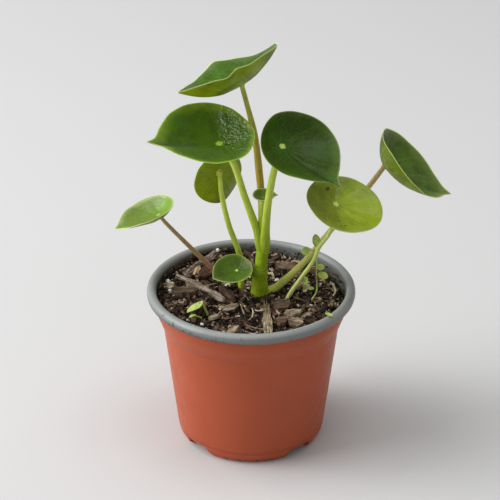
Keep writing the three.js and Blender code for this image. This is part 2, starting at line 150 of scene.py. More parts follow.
# Small folds in a margin: degrees from the tip, width in degrees, and how far up in millimetres.
FOLDS = {
    "top": ((-126, 9, 2.2), (-94, 16.5, -1.6), (60, 8.7, -1.8), (67.5, 8.2, 2), (150, 11.5, 0.7),
            (-168, 25, -2.3)),
    "upper_left": ((-70, 20, 0.8), (65, 24, -0.9), (150, 20, 0.7)),
    "upper_right": ((48, 18, -0.8), (-52, 20, 0.8), (170, 22, 0.6)),
    "near_right": ((30, 18, 0.5), (-95, 24, -0.6), (150, 16, 0.6)),
    "far_right": ((75, 18, 0.9), (-60, 18, -0.8), (165, 20, 0.6)),
    "back": ((95, 22, 0.8), (-85, 20, -0.8)),
    "left": ((70, 22, 0.5), (-80, 20, -0.5)),
    "low": ((100, 20, 0.4), (-60, 20, 0.3)),
    "young": ((90, 24, -0.2),),
}

# Brown marks on the ageing leaf: place and radius.
BLEMISHES = (((42.9, -0.1, 156.2), 1.5), ((51.9, -23.4, 145.2), 0.7), ((56, -20.9, 144.8), 0.6),
             ((48.8, -20.2, 146.6), 0.5), ((60.6, -3.4, 148.6), 0.5), ((-19, 22.5, 143.2), 0.7))

MAIN_STEM = dict(
    points=((4, 7, 62), (5, 6, 80), (5, 6, 84.6), (5, 6, 87.4), (5, 6, 91), (5, 6, 97), (5.3, 6.4, 101),
            (5.5, 6.6, 103), (6.2, 6.8, 110), (6.8, 7, 117), (7, 7.2, 121.5)),
    radii=(2, 2.6, 4.2, 5.3, 4.9, 4.2, 4.5, 3.7, 3.5, 3.6, 2.3),
)
# Stalks, from the root end up. The finish says how a stalk's colour runs.
STALK_MEASURES = ("finish", "points", "radii")
STALK_ROWS = {
    "top": ("reddish", ((6.9, 7.8, 108), (6.8, 9, 118), (6.2, 10.6, 141), (4.7, 12.4, 160),
        (2.2, 13.8, 182), (-2.8, 14, 204), (-5.4, 14, 214.4)), (2.2, 3, 2.25, 2.1, 1.9, 1.45, 1.3)),
    "upper_left": ("green", ((6.2, 6.4, 109), (5.2, 6.2, 119), (3, 5.3, 129), (-3.5, 3.3, 150),
        (-9.9, 1.3, 172), (-17, 0, 184.2)), (2, 2.9, 2.25, 2, 1.9, 1.6)),
    "upper_right": ("green", ((7.2, 7, 107), (7.8, 5.6, 118), (8.4, 0.8, 133), (9.2, -2.2, 146),
        (10.7, -3, 158), (13, -3, 170), (16.6, -2, 184.1)), (2, 3.2, 2.4, 2.2, 2.1, 1.9, 1.6)),
    "young": ("green", ((6, 5.6, 122), (5.8, 5.2, 133), (5.9, 5, 142), (6.5, 5, 148.8)),
        (1.6, 1.6, 1.6, 1.5)),
    "low": ("green", ((4.5, 6.6, 100), (-1.2, 5.2, 99.6), (-4.6, 4, 101), (-8, 3, 103)),
        (1.6, 1.3, 1.2, 1.1)),
    "far_right": ("blush", ((6, 7, 87.4), (11, 8, 87.6), (16.6, 9, 90.6), (32, 10.6, 106.2),
        (49.6, 13.5, 129), (65, 16, 147.6), (76.1, 17, 163.2)), (2, 2.4, 2.3, 1.9, 1.65, 1.6, 1.4)),
    "near_right": ("pale", ((15, 3, 66), (21.2, 0.4, 86.5), (29, -1.5, 101), (36, -3, 113.4),
        (38.4, -4, 121.4), (44.6, -6.5, 133), (47, -8, 150.7)), (1.1, 1.3, 1.25, 1.2, 1.15, 1.1, 1.05)),
    "back": ("green", ((-5, 9, 66), (-5.7, 11.3, 87.2), (-6.2, 16.4, 104), (-12.8, 17.8, 125),
        (-16.7, 18, 143.6), (-18.2, 18, 158.2)), (1.2, 1.8, 1.7, 1.6, 1.5, 1.3)),
    "left": ("tan", ((-3, 17, 70), (-11.1, 19, 87.6), (-22.7, 20, 96), (-35.9, 20.5, 109.8),
        (-49, 20.3, 124.8), (-52.9, 20, 130.2)), (1.1, 1.6, 1.5, 1.3, 1.15, 1.1)),
}
STALKS = {name: dict(zip(STALK_MEASURES, row)) for name, row in STALK_ROWS.items()}

SPROUT_BLADE = dict(share=0.9, drop=0.2, pinch=0, tip=0, cup=0.5, fold=0, droop=0, back=0)
WEEDS = {
    "weed_right": dict(
        stems=(
            (((34, -3, 76), (34.8, -2.8, 86.3), (37.7, -1.4, 91.7), (37.6, 1, 102), (37.8, 2.8, 111),
              (38, 4, 119)), (0.5, 0.55, 0.5, 0.45, 0.4, 0.35)),
            (((37.8, 3.4, 115), (35.5, 3.2, 116), (32.6, 3.1, 116.5)), (0.35, 0.35, 0.3)),
            (((37.5, 1.6, 104.4), (38, 0.9, 106), (38.6, 0.5, 107)), (0.35, 0.35, 0.3)),
            (((37.6, 1, 101.8), (38.4, -0.6, 102.6), (39.6, -1.2, 103)), (0.35, 0.35, 0.3)),
        ),
        blades=(
            dict(at=(38, 4, 118.6), facing=-90, lean=62, turn=-168, length=7.6, width=4.8),
            dict(at=(33.2, 3.1, 116.4), facing=-90, lean=60, turn=-75, length=5.2, width=4.8),
            dict(at=(38.2, 0.6, 106.8), facing=-90, lean=35, turn=75, length=4.4, width=4),
            dict(at=(39.1, -1, 102.8), facing=-90, lean=30, turn=66, length=6, width=4.6),
        ),
    ),
    "weed_shoot": dict(
        stems=(
            (((30, 9, 78), (30.8, 8, 87), (31.2, 6, 91), (31.2, 4.4, 93.6)), (0.5, 0.5, 0.5, 0.4)),
            (((30.9, 7.6, 88), (32.4, 7, 89), (33.4, 6.4, 89.6)), (0.4, 0.4, 0.35)),
        ),
        blades=(
            dict(at=(31.2, 4.6, 93.2), facing=-90, lean=55, turn=170, length=5, width=3),
            dict(at=(33.1, 6.5, 89.6), facing=-90, lean=20, turn=80, length=4, width=2.4),
        ),
    ),
    "sprout_left": dict(
        stems=(
            (((-23, -18, 76), (-24.5, -19, 85.4), (-25.9, -19.6, 90), (-27.4, -20, 93.6),
              (-29.4, -20.3, 94.8)), (0.5, 0.75, 0.75, 0.7, 0.5)),
            (((-27, -21.4, 82), (-28.4, -22.4, 86.4), (-31.8, -24, 88.4)), (0.4, 0.45, 0.4)),
        ),
        blades=(
            dict(at=(-28.2, -20.2, 94.8), facing=200, lean=14, turn=-10, length=10.5, width=6.6, droop=3.8,
                 fold=-1.8),
            dict(at=(-31.6, -24, 88.6), facing=190, lean=8, turn=20, length=4.4, width=3, fold=0.4),
        ),
    ),
}

TWIGS = {
    "twig_long": dict(points=((-43, 21.5, 88.9), (-34, 13.5, 88.6), (-25, 5, 88.2), (-16, -4, 87.4)),
                      radii=(1.7, 2, 1.9, 1.9)),
    "twig_back": dict(points=((-37.5, 26, 88.8), (-28, 37, 90.2), (-21.5, 45.5, 91.6)), radii=(2.4, 2.6, 2)),
}
FIBRES = (
    (((-3.6, 1, 87.2), (-5.3, -5.6, 86.9), (-5.5, -10.4, 86.6), (-4, -16.4, 86), (-3, -21, 85.4)),
     (0.75, 0.55, 0.45, 0.45, 0.35)),
    (((-3.2, 0.6, 87.4), (-1.6, -3.4, 87.6), (-0.2, -7.2, 87.3)), (0.6, 0.55, 0.8)),
    (((0.6, -11.8, 86.4), (1.2, -18, 86.6), (-0.6, -23.6, 86), (-5.4, -25.4, 85.4)), (0.4, 0.4, 0.4, 0.3)),
    (((-6.4, -32, 85), (-3, -36, 84.8), (1.4, -38.6, 85), (3.6, -37.6, 85.4)), (0.4, 0.45, 0.45, 0.4)),
    (((2.4, -15, 87), (4.6, -16.4, 87.4), (6.6, -16, 87.8)), (0.45, 0.4, 0.9)),
    (((46, 9.6, 92), (48.6, 5, 90.4), (48.4, 0.6, 89.4), (45.6, -3.6, 88.4)), (0.45, 0.5, 0.45, 0.35)),
)

# Bark pieces: place, size along, across and thick, turn about +Z, tilt about the long side, and a tone and a
# redness from 0 to 1. An outline, where it is given, is in shares of the half length and the half width.
PLANK = ((-1, -0.62), (-0.98, 0.7), (-0.42, 0.86), (0.08, 1), (0.16, 0.62), (0.98, 0.66), (1, -0.36),
         (0.5, -0.42), (0.1, -0.5), (-0.3, -0.56))
BARK_MEASURES = ("at", "size", "turn", "tilt", "tone", "red", "outline")
BARK_ROWS = {
    "bark_strip": ((9.6, -24.4), (33.4, 7.2, 2.2), 91, 4, 0.68, 0.1, PLANK),
    "bark_pink": ((-26.8, 25), (13, 7, 3), 62, 18, 0.46, 1),
    "bark_oval": ((-38.4, 4), (13, 10, 3.2), 8, -8, 0.5, 0.3),
    "bark_lump": ((-31.5, -14.5), (7, 6, 5), 30, 12, 0.55, 0.6),
    "bark_red": ((-14, 4.5), (15, 6, 2.6), 118, 14, 0.45, 0.7),
    "bark_pale": ((-21, -23.4), (6, 4, 1.8), 40, -20, 0.95, 0.1),
    "bark_splinter": ((-12, -13), (10, 4, 1.8), 35, 16, 0.72, 0.35),
    "bark_dark": ((17.4, -10.4), (10, 8.6, 2.4), 12, 6, 0.36, 0),
    "bark_tan": ((24, -18.4), (9.5, 8, 2.6), 24, -10, 0.7, 0.15),
    "bark_round": ((17.6, -27), (6, 5.6, 3.4), 0, 8, 0.6, 0.6),
    "bark_front": ((25.5, -30), (8.5, 6.5, 2.6), -24, 10, 0.6, 0.2),
    "bark_behind": ((21, 31), (12, 7, 2.6), -12, 14, 0.5, 0.3),
}
BARK = {name: dict(zip(BARK_MEASURES, row)) for name, row in BARK_ROWS.items()}

GRAINS = {
    "perlite_centre": ((-13.4, 13), 1.6),
    "perlite_stem": ((-2.6, 13.4), 1.1),
    "perlite_right": ((15.2, 17.9), 1.5),
    "perlite_left": ((-48.4, 14), 1.5),
    "perlite_low": ((-47, 5), 1.6),
}
# Smaller grains, each with its radius.
GRIT = ((-1.4, 9.6, 0.8), (-44.6, 9, 0.8), (-42.8, 0.4, 1.0), (-44.4, -4.6, 0.7), (21.8, -3.6, 0.8),
        (34.4, -7.8, 0.9), (-20, 49.2, 1.4), (-27.6, -29.6, 1.1), (31, 22, 0.8), (-6, 38, 0.9),
        (40.6, 14, 0.7), (-36, -22.4, 0.7), (3.4, -36, 0.6), (-18, 33, 0.8), (8, 24, 0.7),
        (43, -16, 0.8), (-9, -42, 0.7))

SOIL_LEVEL = 86.5
SOIL_SLOPE = 0.06
SOIL_RADIUS = 52.8

# The sheet's outer side from the middle of the base to the lip of the rolled rim: radius, height.
SHEET = (
    (0, 0), (6, 0), (12, 0), (14.5, 0), (16, 0), (17.5, 0), (19, 0), (22, 0), (25, 0), (28, 0), (31, 0),
    (33.5, 0), (35.5, 0), (37.2, 0), (38.4, 0), (39.2, 0.1), (39.8, 0.45), (40.4, 1), (41, 1.7), (41.6, 2.5),
    (41.75, 3.3), (42.2, 3.5), (42.45, 4.2), (42.62, 5), (42.85, 6), (43.1, 7.2), (43.4, 9), (43.75, 12),
    (44.4, 17.6), (45.3, 25), (46.5, 35), (47.7, 45), (48.9, 55), (50.1, 65), (50.6, 69.6), (50.8, 71.4),
    (50.9, 72.4), (51.05, 73.1), (51.5, 73.5), (51.9, 74), (52.3, 75), (52.95, 76.9), (53.65, 78.8),
    (54.3, 80.4), (54.8, 82), (55.05, 83.4), (55.25, 85.2), (55.45, 88), (55.6, 91), (55.75, 92.9),
    (55.95, 93.8), (56.4, 94.2), (57, 94.35), (57.7, 94.3), (58.3, 94), (58.75, 93.4), (58.9, 92.6),
    (58.9, 91.8), (58.75, 91.1), (58.45, 90.7),
)
CREASES = (7.3, 74.2)  # heights of the moulded creases, at the foot and under the collar
CHANNEL = dict(first=42, count=4, half_width=8.4, height=6.2, inner=16, hole_radius=3, hole_at=29)
FOOT_MARKS = (-21, -9.5, 5, 16.5)  # degrees from the front: little moulded notches under the front foot
FOOT_MARK_HEIGHT = 1.7
FOOT_MARK_WIDTH = 1.9  # degrees

# ---------------------------------------------------------------- settings of the build

VEINS = dict(Count=9.0, Bend=0.045, Width=0.034)
GREEN_GLOW = (0.6, 1.0, 0.2)  # how far red, green and blue light soak into a blade
POT_STEPS = 320
SOIL_STEPS = 230
SOIL_RINGS = 72
BATCH = 220  # copies that are strewn before a new batch starts
STEM_FOOT = (5, 6)
STEM_CLEARING = (5, 5.6, 5.6)  # place and radius of the ground where strewn matter lies deeper
STEM_SCAR = (5.5, 6.6, 103.4)
# Lamps: place, aim, size in metres, and power as a share of the window's.
LAMPS = {
    "window": ((-3.0, -0.35, 1.48), (0, 0, 0.08), 2.5, 1.0),
    "softbox": ((-1.35, 0.3, 1.65), (0, 0, 0.15), 1.3, 0.2),
    "ceiling": ((0.15, 0.05, 1.5), (0, 0, 0.1), 0.8, 0.056),
}
ROOM_LIGHT = 0.42
CAMERA_PLACE = (-0.0006, -0.9757, 0.6259)
CAMERA_TIP = 62.5  # degrees up from looking straight down
CAMERA_LENS = 138.96


def soil_height(x, y):
    """Height of the soil in millimetres: it slopes up to the back, with low mounds and a bank at the left."""
    mounds = 0.6 * math.sin(x / 7 + 1) * math.cos(y / 9) + 0.5 * math.sin(x / 4.3 - y / 5.1 + 2)
    bank = 0.033 * max(math.hypot(x, y) - 43, 0) ** 2 * max(math.cos(math.atan2(y, x) - 2.8), 0)
    return SOIL_LEVEL + SOIL_SLOPE * y + mounds + bank


def under_bark(x, y):
    """Whether one of the larger bark pieces lies over a place."""
    for spec in BARK.values():
        turn = math.radians(spec["turn"])
        x_off, y_off = x - spec["at"][0], y - spec["at"][1]
        along = x_off * math.cos(turn) + y_off * math.sin(turn)
        across = y_off * math.cos(turn) - x_off * math.sin(turn)
        if abs(along) < spec["size"][0] / 2 and abs(across) < spec["size"][1] / 2:
            return True
    return False


# ---------------------------------------------------------------- node trees


def tinted(colour, factor, lift=0.0):
    """A colour made darker or lighter, each part kept within 1."""
    return tuple(min(factor * part + lift, 1) for part in colour)


class Value:
    """A value in a node tree. Arithmetic on it adds math nodes."""

    def __init__(self, tree, socket):
        self.tree = tree
        self.socket = socket

    def __add__(self, other):
        return self.tree.math("ADD", self, other)

    def __sub__(self, other):
        return self.tree.math("SUBTRACT", self, other)

    def __mul__(self, other):
        return self.tree.math("MULTIPLY", self, other)

    def __truediv__(self, other):
        return self.tree.math("DIVIDE", self, other)

    def __abs__(self):
        return self.tree.math("ABSOLUTE", self)

    def steps(self, low, high, start=0.0, end=1.0):
        """A smooth step from start to end, as the value goes from low to high."""
        ends = {"Value": self, "From Min": low, "From Max": high, "To Min": start, "To Max": end}
        return self.tree.add("ShaderNodeMapRange", ends, interpolation_type="SMOOTHSTEP")


class Tree:
    """A node tree that is filled one node at a time."""

    def __init__(self, tree):
        self.tree = tree

    def node(self, kind, inputs=(), **settings):
        made = self.tree.nodes.new(kind)
        for name, value in settings.items():
            setattr(made, name, value)
        for name, value in dict(inputs).items():
            self.put(made.inputs[name], value)
        return made

    def put(self, socket, value):
        if isinstance(value, Value):
            self.tree.links.new(value.socket, socket)
        elif socket.type == "RGBA":
            socket.default_value = (*value[:3], 1)
        else:
            socket.default_value = value

    def add(self, kind, inputs=(), output=0, **settings):
        """Adds a node and returns one of its outputs."""
        return Value(self, self.node(kind, inputs, **settings).outputs[output])

    def values(self, node):
        return {socket.name: Value(self, socket) for socket in node.outputs}

    def math(self, operation, first, second=0.0):
        return self.add("ShaderNodeMath", {0: first, 1: second}, operation=operation)

    def mix(self, share, first, second, blend_type="MIX"):
        ends = {0: share, 6: first, 7: second}
        return self.add("ShaderNodeMix", ends, 2, data_type="RGBA", blend_type=blend_type)

    def coats(self, base, *layers):
        """Lays colours over a base one by one, each with the share of it that shows."""
        for share, colour in layers:
            base = self.mix(share, base, colour)
        return base

    def noise(self, vector, scale, detail=3.0, roughness=0.55):
        ends = {"Vector": vector, "Scale": scale, "Detail": detail, "Roughness": roughness}
        return self.add("ShaderNodeTexNoise", ends, "Fac")

    def cells(self, vector, scale, feature="F1", output="Distance"):
        return self.add("ShaderNodeTexVoronoi", {"Vector": vector, "Scale": scale}, output, feature=feature)

    def stretched(self, vector, scale):
        return self.add("ShaderNodeMapping", {"Vector": vector, "Scale": scale})

    def parts(self, vector):
        return list(self.values(self.node("ShaderNodeSeparateXYZ", {0: vector})).values())

    def place(self):
        return self.add("ShaderNodeTexCoord", output="Object")

    def attribute(self, name, output="Fac"):
        return self.add("ShaderNodeAttribute", output=output, attribute_name=name)

    def ramp(self, value, *stops):
        made = self.node("ShaderNodeValToRGB", {"Fac": value})
        band = made.color_ramp.elements
        while len(band) < len(stops):
            band.new(1.0)
        for element, (position, colour) in zip(band, stops):
            element.position = position
            element.color = (*colour, 1)
        return Value(self, made.outputs["Color"])

    def effect(self, group, **inputs):
        return self.values(self.node("ShaderNodeGroup", inputs, node_tree=group))


def new_effect(name, inputs, outputs, fill):
    """A shared node group. fill takes the tree and the inputs' values and returns the outputs' values."""
    group = bpy.data.node_groups.get(name)
    if group:
        return group
    group = bpy.data.node_groups.new(name, "ShaderNodeTree")
    for title, kind in inputs.items():
        group.interface.new_socket(name=title, in_out="INPUT", socket_type=f"NodeSocket{kind}")
    for title in outputs:
        group.interface.new_socket(name=title, in_out="OUTPUT", socket_type="NodeSocketFloat")
    tree = Tree(group)
    given = tree.values(tree.node("NodeGroupInput"))
    tree.node("NodeGroupOutput", zip(outputs, fill(tree, given)))
    return group


def veins_effect():
    """Main veins that fan out from the stalk, bend to the tip and fork. Angle is 0.5 at the tip."""

    def fill(tree, given):
        share = given["Share"]
        angle = given["Angle"] - 0.5
        bend = tree.math("SINE", angle * math.tau) * (share * share) * given["Bend"]
        waver = (tree.noise(given["Place"], 90, 1) - 0.5) * 0.035
        rooted = angle + bend + waver

        def family(count):
            away = abs(tree.math("FRACT", rooted * count + 0.5) - 0.5)
            arc = away / count * (share * 6.28)
            return away, arc.steps(0.0, given["Width"], 1.0, 0.0)

        between, main = family(given["Count"])
        forks = family(given["Count"] * 3.0)[1]
        late = share.steps(0.35, 0.75)
        veins = tree.math("MAXIMUM", main, forks * (late * 0.4))
        fading = share.steps(0.75, 0.98, 1.0, 0.25) * share.steps(0.06, 0.3, 0.25, 1.0)
        net = tree.cells(given["Place"], 420, "DISTANCE_TO_EDGE")
        puff = between.steps(0.0, 0.5) * share.steps(0.05, 0.5)
        return veins * fading, net.steps(0.0, 0.12), puff

    inputs = dict.fromkeys(("Angle", "Share", "Count", "Bend", "Width"), "Float")
    return new_effect("Leaf veins", {**inputs, "Place": "Vector"}, ("Veins", "Net", "Puff"), fill)


def blotches_effect():
    """Soft blotches, small freckles and scattered dark specks, at a scale in blotches to the metre."""

    def fill(tree, given):
        place, scale = given["Place"], given["Scale"]
        soft = tree.noise(place, scale, 3).steps(0.32, 0.68)
        fine = tree.noise(place, scale * 6.5, 2).steps(0.35, 0.65)
        return soft, fine, tree.cells(place, scale * 2.2).steps(0.05, 0.16, 1.0, 0.0)

    return new_effect("Blotches", {"Place": "Vector", "Scale": "Float"}, ("Soft", "Fine", "Specks"), fill)


def fibres_effect():
    """Grain that runs along X: long streaks, cracks between them and a fine tooth."""

    def fill(tree, given):
        place, scale = given["Place"], given["Scale"]
        streaks = tree.noise(tree.stretched(place, (0.09, 1, 1)), scale, 4, 0.65)
        cracks = tree.noise(tree.stretched(place, (0.05, 1.6, 1.6)), scale, 2, 0.5)
        tooth = tree.noise(tree.stretched(place, (0.5, 1, 1)), scale * 4, 2)
        return streaks.steps(0.3, 0.7), cracks.steps(0.36, 0.46, 1.0, 0.0), tooth

    return new_effect("Fibres", {"Place": "Vector", "Scale": "Float"}, ("Streaks", "Cracks", "Tooth"), fill)


def grime_effect():
    """Dust and dried splashes: clouds that are thick where Amount is high, with a few drips down the wall."""

    def fill(tree, given):
        clouds = tree.noise(given["Place"], 38, 5, 0.62)
        drips = tree.noise(tree.stretched(given["Place"], (1, 1, 0.12)), 130, 3, 0.6)
        least = tree.math("SUBTRACT", 0.78, given["Amount"] * 0.45)
        specks = tree.cells(given["Place"], 260).steps(0.02, 0.09, 1.0, 0.0)
        runs = drips.steps(least + 0.04, least + 0.16)
        return clouds.steps(least, least + 0.22), runs, specks * clouds.steps(0.42, 0.62)

    return new_effect("Grime", {"Place": "Vector", "Amount": "Float"}, ("Dust", "Runs", "Specks"), fill)


def surface(name, fill, relief, glow=None, **constants):
    """A material. fill takes its tree and returns colour, roughness and height; constants go on the shader.

    relief is the height's reach in millimetres. glow is the light that soaks in: weight, radius and depth.
    """
    if glow:
        weight, radius, depth = glow
        constants.update(Subsurface_Weight=weight, Subsurface_Radius=radius, Subsurface_Scale=depth * MM)
    material = bpy.data.materials.new(name)
    material.use_nodes = True
    material.node_tree.nodes.clear()
    tree = Tree(material.node_tree)
    settings = {title.replace("_", " "): value for title, value in constants.items()}
    shader = tree.node("ShaderNodeBsdfPrincipled", settings)
    tree.node("ShaderNodeOutputMaterial", {"Surface": Value(tree, shader.outputs[0])})
    colour, roughness, height = fill(tree)
    bump = tree.add("ShaderNodeBump", {"Strength": 1.0, "Distance": relief * MM, "Height": height})
    tree.put(shader.inputs["Base Color"], colour)
    tree.put(shader.inputs["Roughness"], roughness)
    tree.put(shader.inputs["Normal"], bump)
    tree.put(shader.inputs["Coat Normal"], bump)
    return material


# ---------------------------------------------------------------- finishes


def terracotta_sheet(colour):
    """The pot's outer layer: satin, a little cloudy, dusty at the foot, with two moulded creases darkened by
    painted shade.
    """

    def fill(tree):
        place = tree.place()
        up = tree.parts(place)[2]
        cloud = tree.effect(blotches_effect(), Place=place, Scale=26.0)
        grime = tree.effect(grime_effect(), Place=place, Amount=up.steps(0.002, 0.02, 0.7, 0.05))
        flow = tree.noise(tree.stretched(place, (1, 1, 0.06)), 240, 2)
        at_foot, at_collar = (abs(up - level * MM) for level in CREASES)
        crease = at_foot.steps(0.3 * MM, 1.0 * MM, 1.0, 0.0) + at_collar.steps(0.3 * MM, 1.4 * MM, 0.4, 0.0)
        base = tree.coats(
            colour,
            (cloud["Soft"] * 0.55, tinted(colour, 0.86)),
            (flow.steps(0.62, 0.8, 0.0, 0.16), tinted(colour, 1.18, 0.01)),
            (grime["Dust"] * 0.12, paint(206, 148, 118)),
            (grime["Specks"] * 0.5, paint(92, 50, 32)),
            # painted shade: the two moulded creases are drawn darker, as if shade lay in them
            (crease * 0.26, tinted(colour, 0.6)),
        )
        waves = tree.noise(place, 60, 2) + crease * -0.9
        rough = cloud["Fine"].steps(0, 1, 0.4, 0.47) + grime["Dust"] * 0.2
        return base, rough, tree.noise(place, 1500, 2) * 0.12 + waves

    return surface("pot_terracotta", fill, 0.35, (0.06, (1.0, 0.35, 0.2), 1.5), Specular_IOR_Level=0.3)


def grey_sheet(colour):
    """The pot's inner layer: grey, soiled and streaked near the soil, with painted shade low down and a
    painted highlight on the rim top.
    """

    def fill(tree):
        place = tree.place()
        x, _, up = tree.parts(place)
        cloud = tree.effect(blotches_effect(), Place=place, Scale=45.0)
        depth = up.steps(0.0865, 0.0945, 1.0, 0.0)
        grime = tree.effect(grime_effect(), Place=place, Amount=depth + 0.12)
        # painted highlight: the top of the rolled rim is drawn lighter, in soft blotches
        lit_rim_top = up.steps(0.0934, 0.0943) * cloud["Soft"].steps(0, 1, 0.6, 1)
        dirty = up.steps(0.0865, 0.096, 1.0, 0.0) * x.steps(-0.036, -0.01, 0.2, 0.08)
        soiled = (tree.noise(place, 400, 4, 0.7) + dirty).steps(0.6, 0.68)
        soiled *= (tree.noise(place, 60, 2) + dirty).steps(0.45, 0.6)
        soiled *= up.steps(0.094, 0.096, 0.85, 0.45)
        base = tree.coats(
            colour,
            (cloud["Soft"] * 0.5, tinted(colour, 0.8)),
            # painted shade: the inner wall is drawn darker the deeper it lies in the pot
            (depth * 0.8, paint(66, 68, 60)),
            # painted shade: the upper inner wall at the left, which faces away from the lamps, drawn near
            # black
            (up.steps(0.0885, 0.0938, 0.85, 0.0) * x.steps(-0.04, -0.005, 1.0, 0.0), paint(44, 42, 36)),
            (grime["Dust"] * 0.5, paint(108, 104, 92)),
            (grime["Runs"] * depth.steps(0.1, 0.6, 0.0, 0.3), paint(158, 158, 148)),
            (grime["Specks"] * 0.8, paint(62, 50, 40)),
            # painted highlight along the top of the rim
            (lit_rim_top * 0.32, paint(184, 188, 186)),
            (soiled, paint(62, 50, 38)),
        )
        waves = tree.noise(tree.stretched(place, (1, 1, 0.5)), 90, 2)
        return base, grime["Dust"] * 0.3 + 0.42, tree.noise(place, 1300, 2) * 0.1 + waves

    return surface("pot_grey", fill, 0.3, Specular_IOR_Level=0.45)


def leaf_skin(name, upper, shade, under, margin, blush=None, specks=0.0, gloss=0.34, lines=0.08, coat=0.1,
              marks=(), shine=0.25, rim=0.3, wrinkle=1.0, edge=0.9, dot=0.9, film=0.24):
    """A blade: faint veins, mottling, a pale dot over the stalk, a thin pale margin and a lighter underside.

    shine, coat and film are the specular level, the coat's weight and its roughness. gloss is the least
    roughness, and wrinkle the height of the wrinkles behind the stalk. lines, specks, rim, edge and dot say
    how strongly veins, specks, the pale outer part, margin and dot show. marks are brown spots with radii.
    """

    def fill(tree):
        angle, share, _ = tree.parts(tree.add("ShaderNodeUVMap", uv_map="blade"))
        place = tree.place()
        below = tree.attribute("below")
        veins = tree.effect(veins_effect(), Angle=angle, Share=share, Place=place, **VEINS)
        cloud = tree.effect(blotches_effect(), Place=place, Scale=95.0)
        drift = tree.noise(place, 48, 3).steps(0.4, 0.64, 0.0, 0.6)
        top = tree.coats(
            upper,
            (cloud["Soft"], shade),
            (cloud["Fine"] * 0.4, tinted(upper, 0.62)),
            (drift, tuple(min(factor * part, 1) for factor, part in zip((1.25, 1.6, 1.1), upper))),
            (tree.noise(place, 130, 3, 0.7).steps(0.52, 0.7, 0.0, 0.5), tinted(shade, 0.62)),
            (veins["Veins"] * lines, margin),
            (veins["Net"].steps(0, 1, 1, 0) * 0.04, margin),
            ((share + cloud["Soft"] * -0.08).steps(0.76, 0.98, 0.0, rim), tinted(margin, 0.8)),
        )
        low = tree.coats(
            under,
            (cloud["Soft"] * 0.7, tinted(under, 0.66)),
            (drift * 0.9, tinted(upper, 0.72)),
            (veins["Veins"] * 0.22, tinted(under, 1.4, 0.02)),
        )
        skin = tree.mix(below, top, low)
        if blush:
            skin = tree.mix(tree.noise(place, 48, 2).steps(0.46, 0.66) * 0.75, skin, blush)
        skin = tree.mix(cloud["Specks"] * specks, skin, paint(120, 96, 40))
        for spot, radius in marks:
            ends = {0: place, 1: [part * MM for part in spot]}
            away = tree.add("ShaderNodeVectorMath", ends, "Value", operation="DISTANCE")
            ragged = away + cloud["Fine"].steps(0, 1, 0.0, 0.4 * radius * MM)
            brown = ragged.steps(0.9 * radius * MM, 1.5 * radius * MM, 0.85, 0.0)
            skin = tree.mix(brown, skin, paint(74, 62, 22))
        middle = share + cloud["Fine"] * 0.02
        skin = tree.coats(
            skin,
            (middle.steps(0.065, 0.105, dot, 0.0), tinted(margin, 1.4)),
            (share.steps(0.974, 0.992, 0.0, edge), margin),
        )
        rough = cloud["Fine"].steps(0, 1, gloss, gloss + 0.08) + below * 0.14
        relief = veins["Veins"] * below.steps(0, 1, -0.2, 0.8) + veins["Puff"] * 0.16 + veins["Net"] * 0.12
        behind = abs(angle - 0.5).steps(0.27, 0.42, 0.15, 1.0)
        folded = tree.noise(place, 34, 2).steps(0.35, 0.6, 0.5, 1.0) * behind * wrinkle
        relief += (tree.noise(place, 340, 3, 0.6) - 0.5) * folded
        return skin, rough, relief + tree.noise(place, 240, 2) * 0.5

    return surface(name, fill, 0.32, (0.08, GREEN_GLOW, 1.2), Specular_IOR_Level=shine, Coat_Weight=coat,
                   Coat_Roughness=film)


def stalk_skin(name, root, middle, head, blush=0.0):
    """A stalk: its colour runs from root to head, with fine lengthwise lines and pale lenticels."""

    def fill(tree):
        way = tree.attribute("way")
        place = tree.place()
        cloud = tree.effect(blotches_effect(), Place=place, Scale=170.0)
        lines = tree.noise(tree.stretched(place, (1, 1, 0.08)), 900, 3)
        drift = (tree.noise(place, 60, 2) - 0.5) * 0.25
        base = tree.coats(
            tree.ramp(way + drift, (0.02, root), (0.5, middle), (0.96, head)),
            (cloud["Soft"] * 0.3, tinted(middle, 0.7)),
            (lines.steps(0.5, 0.75, 0.0, 0.35), tinted(middle, 1.35, 0.02)),
        )
        if blush:
            red = way.steps(0.3, 0.7) * lines.steps(0.3, 0.6, 1.0, 0.2) * way.steps(0.78, 1.0, 1.0, 0.3)
            base = tree.mix(red * blush, base, paint(142, 82, 46))
        base = tree.mix(cloud["Specks"] * 0.3, base, paint(196, 196, 130))
        return base, cloud["Fine"].steps(0, 1, 0.36, 0.48), lines + cloud["Fine"]

    return surface(name, fill, 0.12, (0.15, (0.7, 1.0, 0.2), 1.2), Specular_IOR_Level=0.35)


def woody(name, dark, body, pale, red):
    """Bark, chips and twigs: fibres along the piece. A piece's tone picks its colour, from dark to pale."""

    def fill(tree):
        tones = tree.attribute("tone", "Vector")
        tone, redness, _ = tree.parts(tones)
        shifted = tree.add("ShaderNodeVectorMath", {0: tree.attribute("grain", "Vector"), 1: tones})
        fibres = tree.effect(fibres_effect(), Place=shifted, Scale=11.0)
        cloud = tree.effect(blotches_effect(), Place=tree.place(), Scale=150.0)
        level = tone + fibres["Streaks"].steps(0, 1, -0.12, 0.12) + cloud["Soft"].steps(0, 1, -0.08, 0.08)
        base = tree.ramp(level, (0.05, dark), (0.35, tinted(body, 0.5)), (0.58, body), (0.92, pale))
        base = tree.coats(
            base,
            (redness.steps(0.3, 1.0, 0.0, 0.6), tree.mix(0.75, base, red, "OVERLAY")),
            (fibres["Cracks"] * 0.55, tinted(dark, 0.6)),
        )
        height = fibres["Streaks"] + fibres["Tooth"] * 0.5 - fibres["Cracks"]
        return base, fibres["Tooth"].steps(0.3, 0.7, 0.72, 0.9), height

    return surface(name, fill, 0.3, Specular_IOR_Level=0.25)


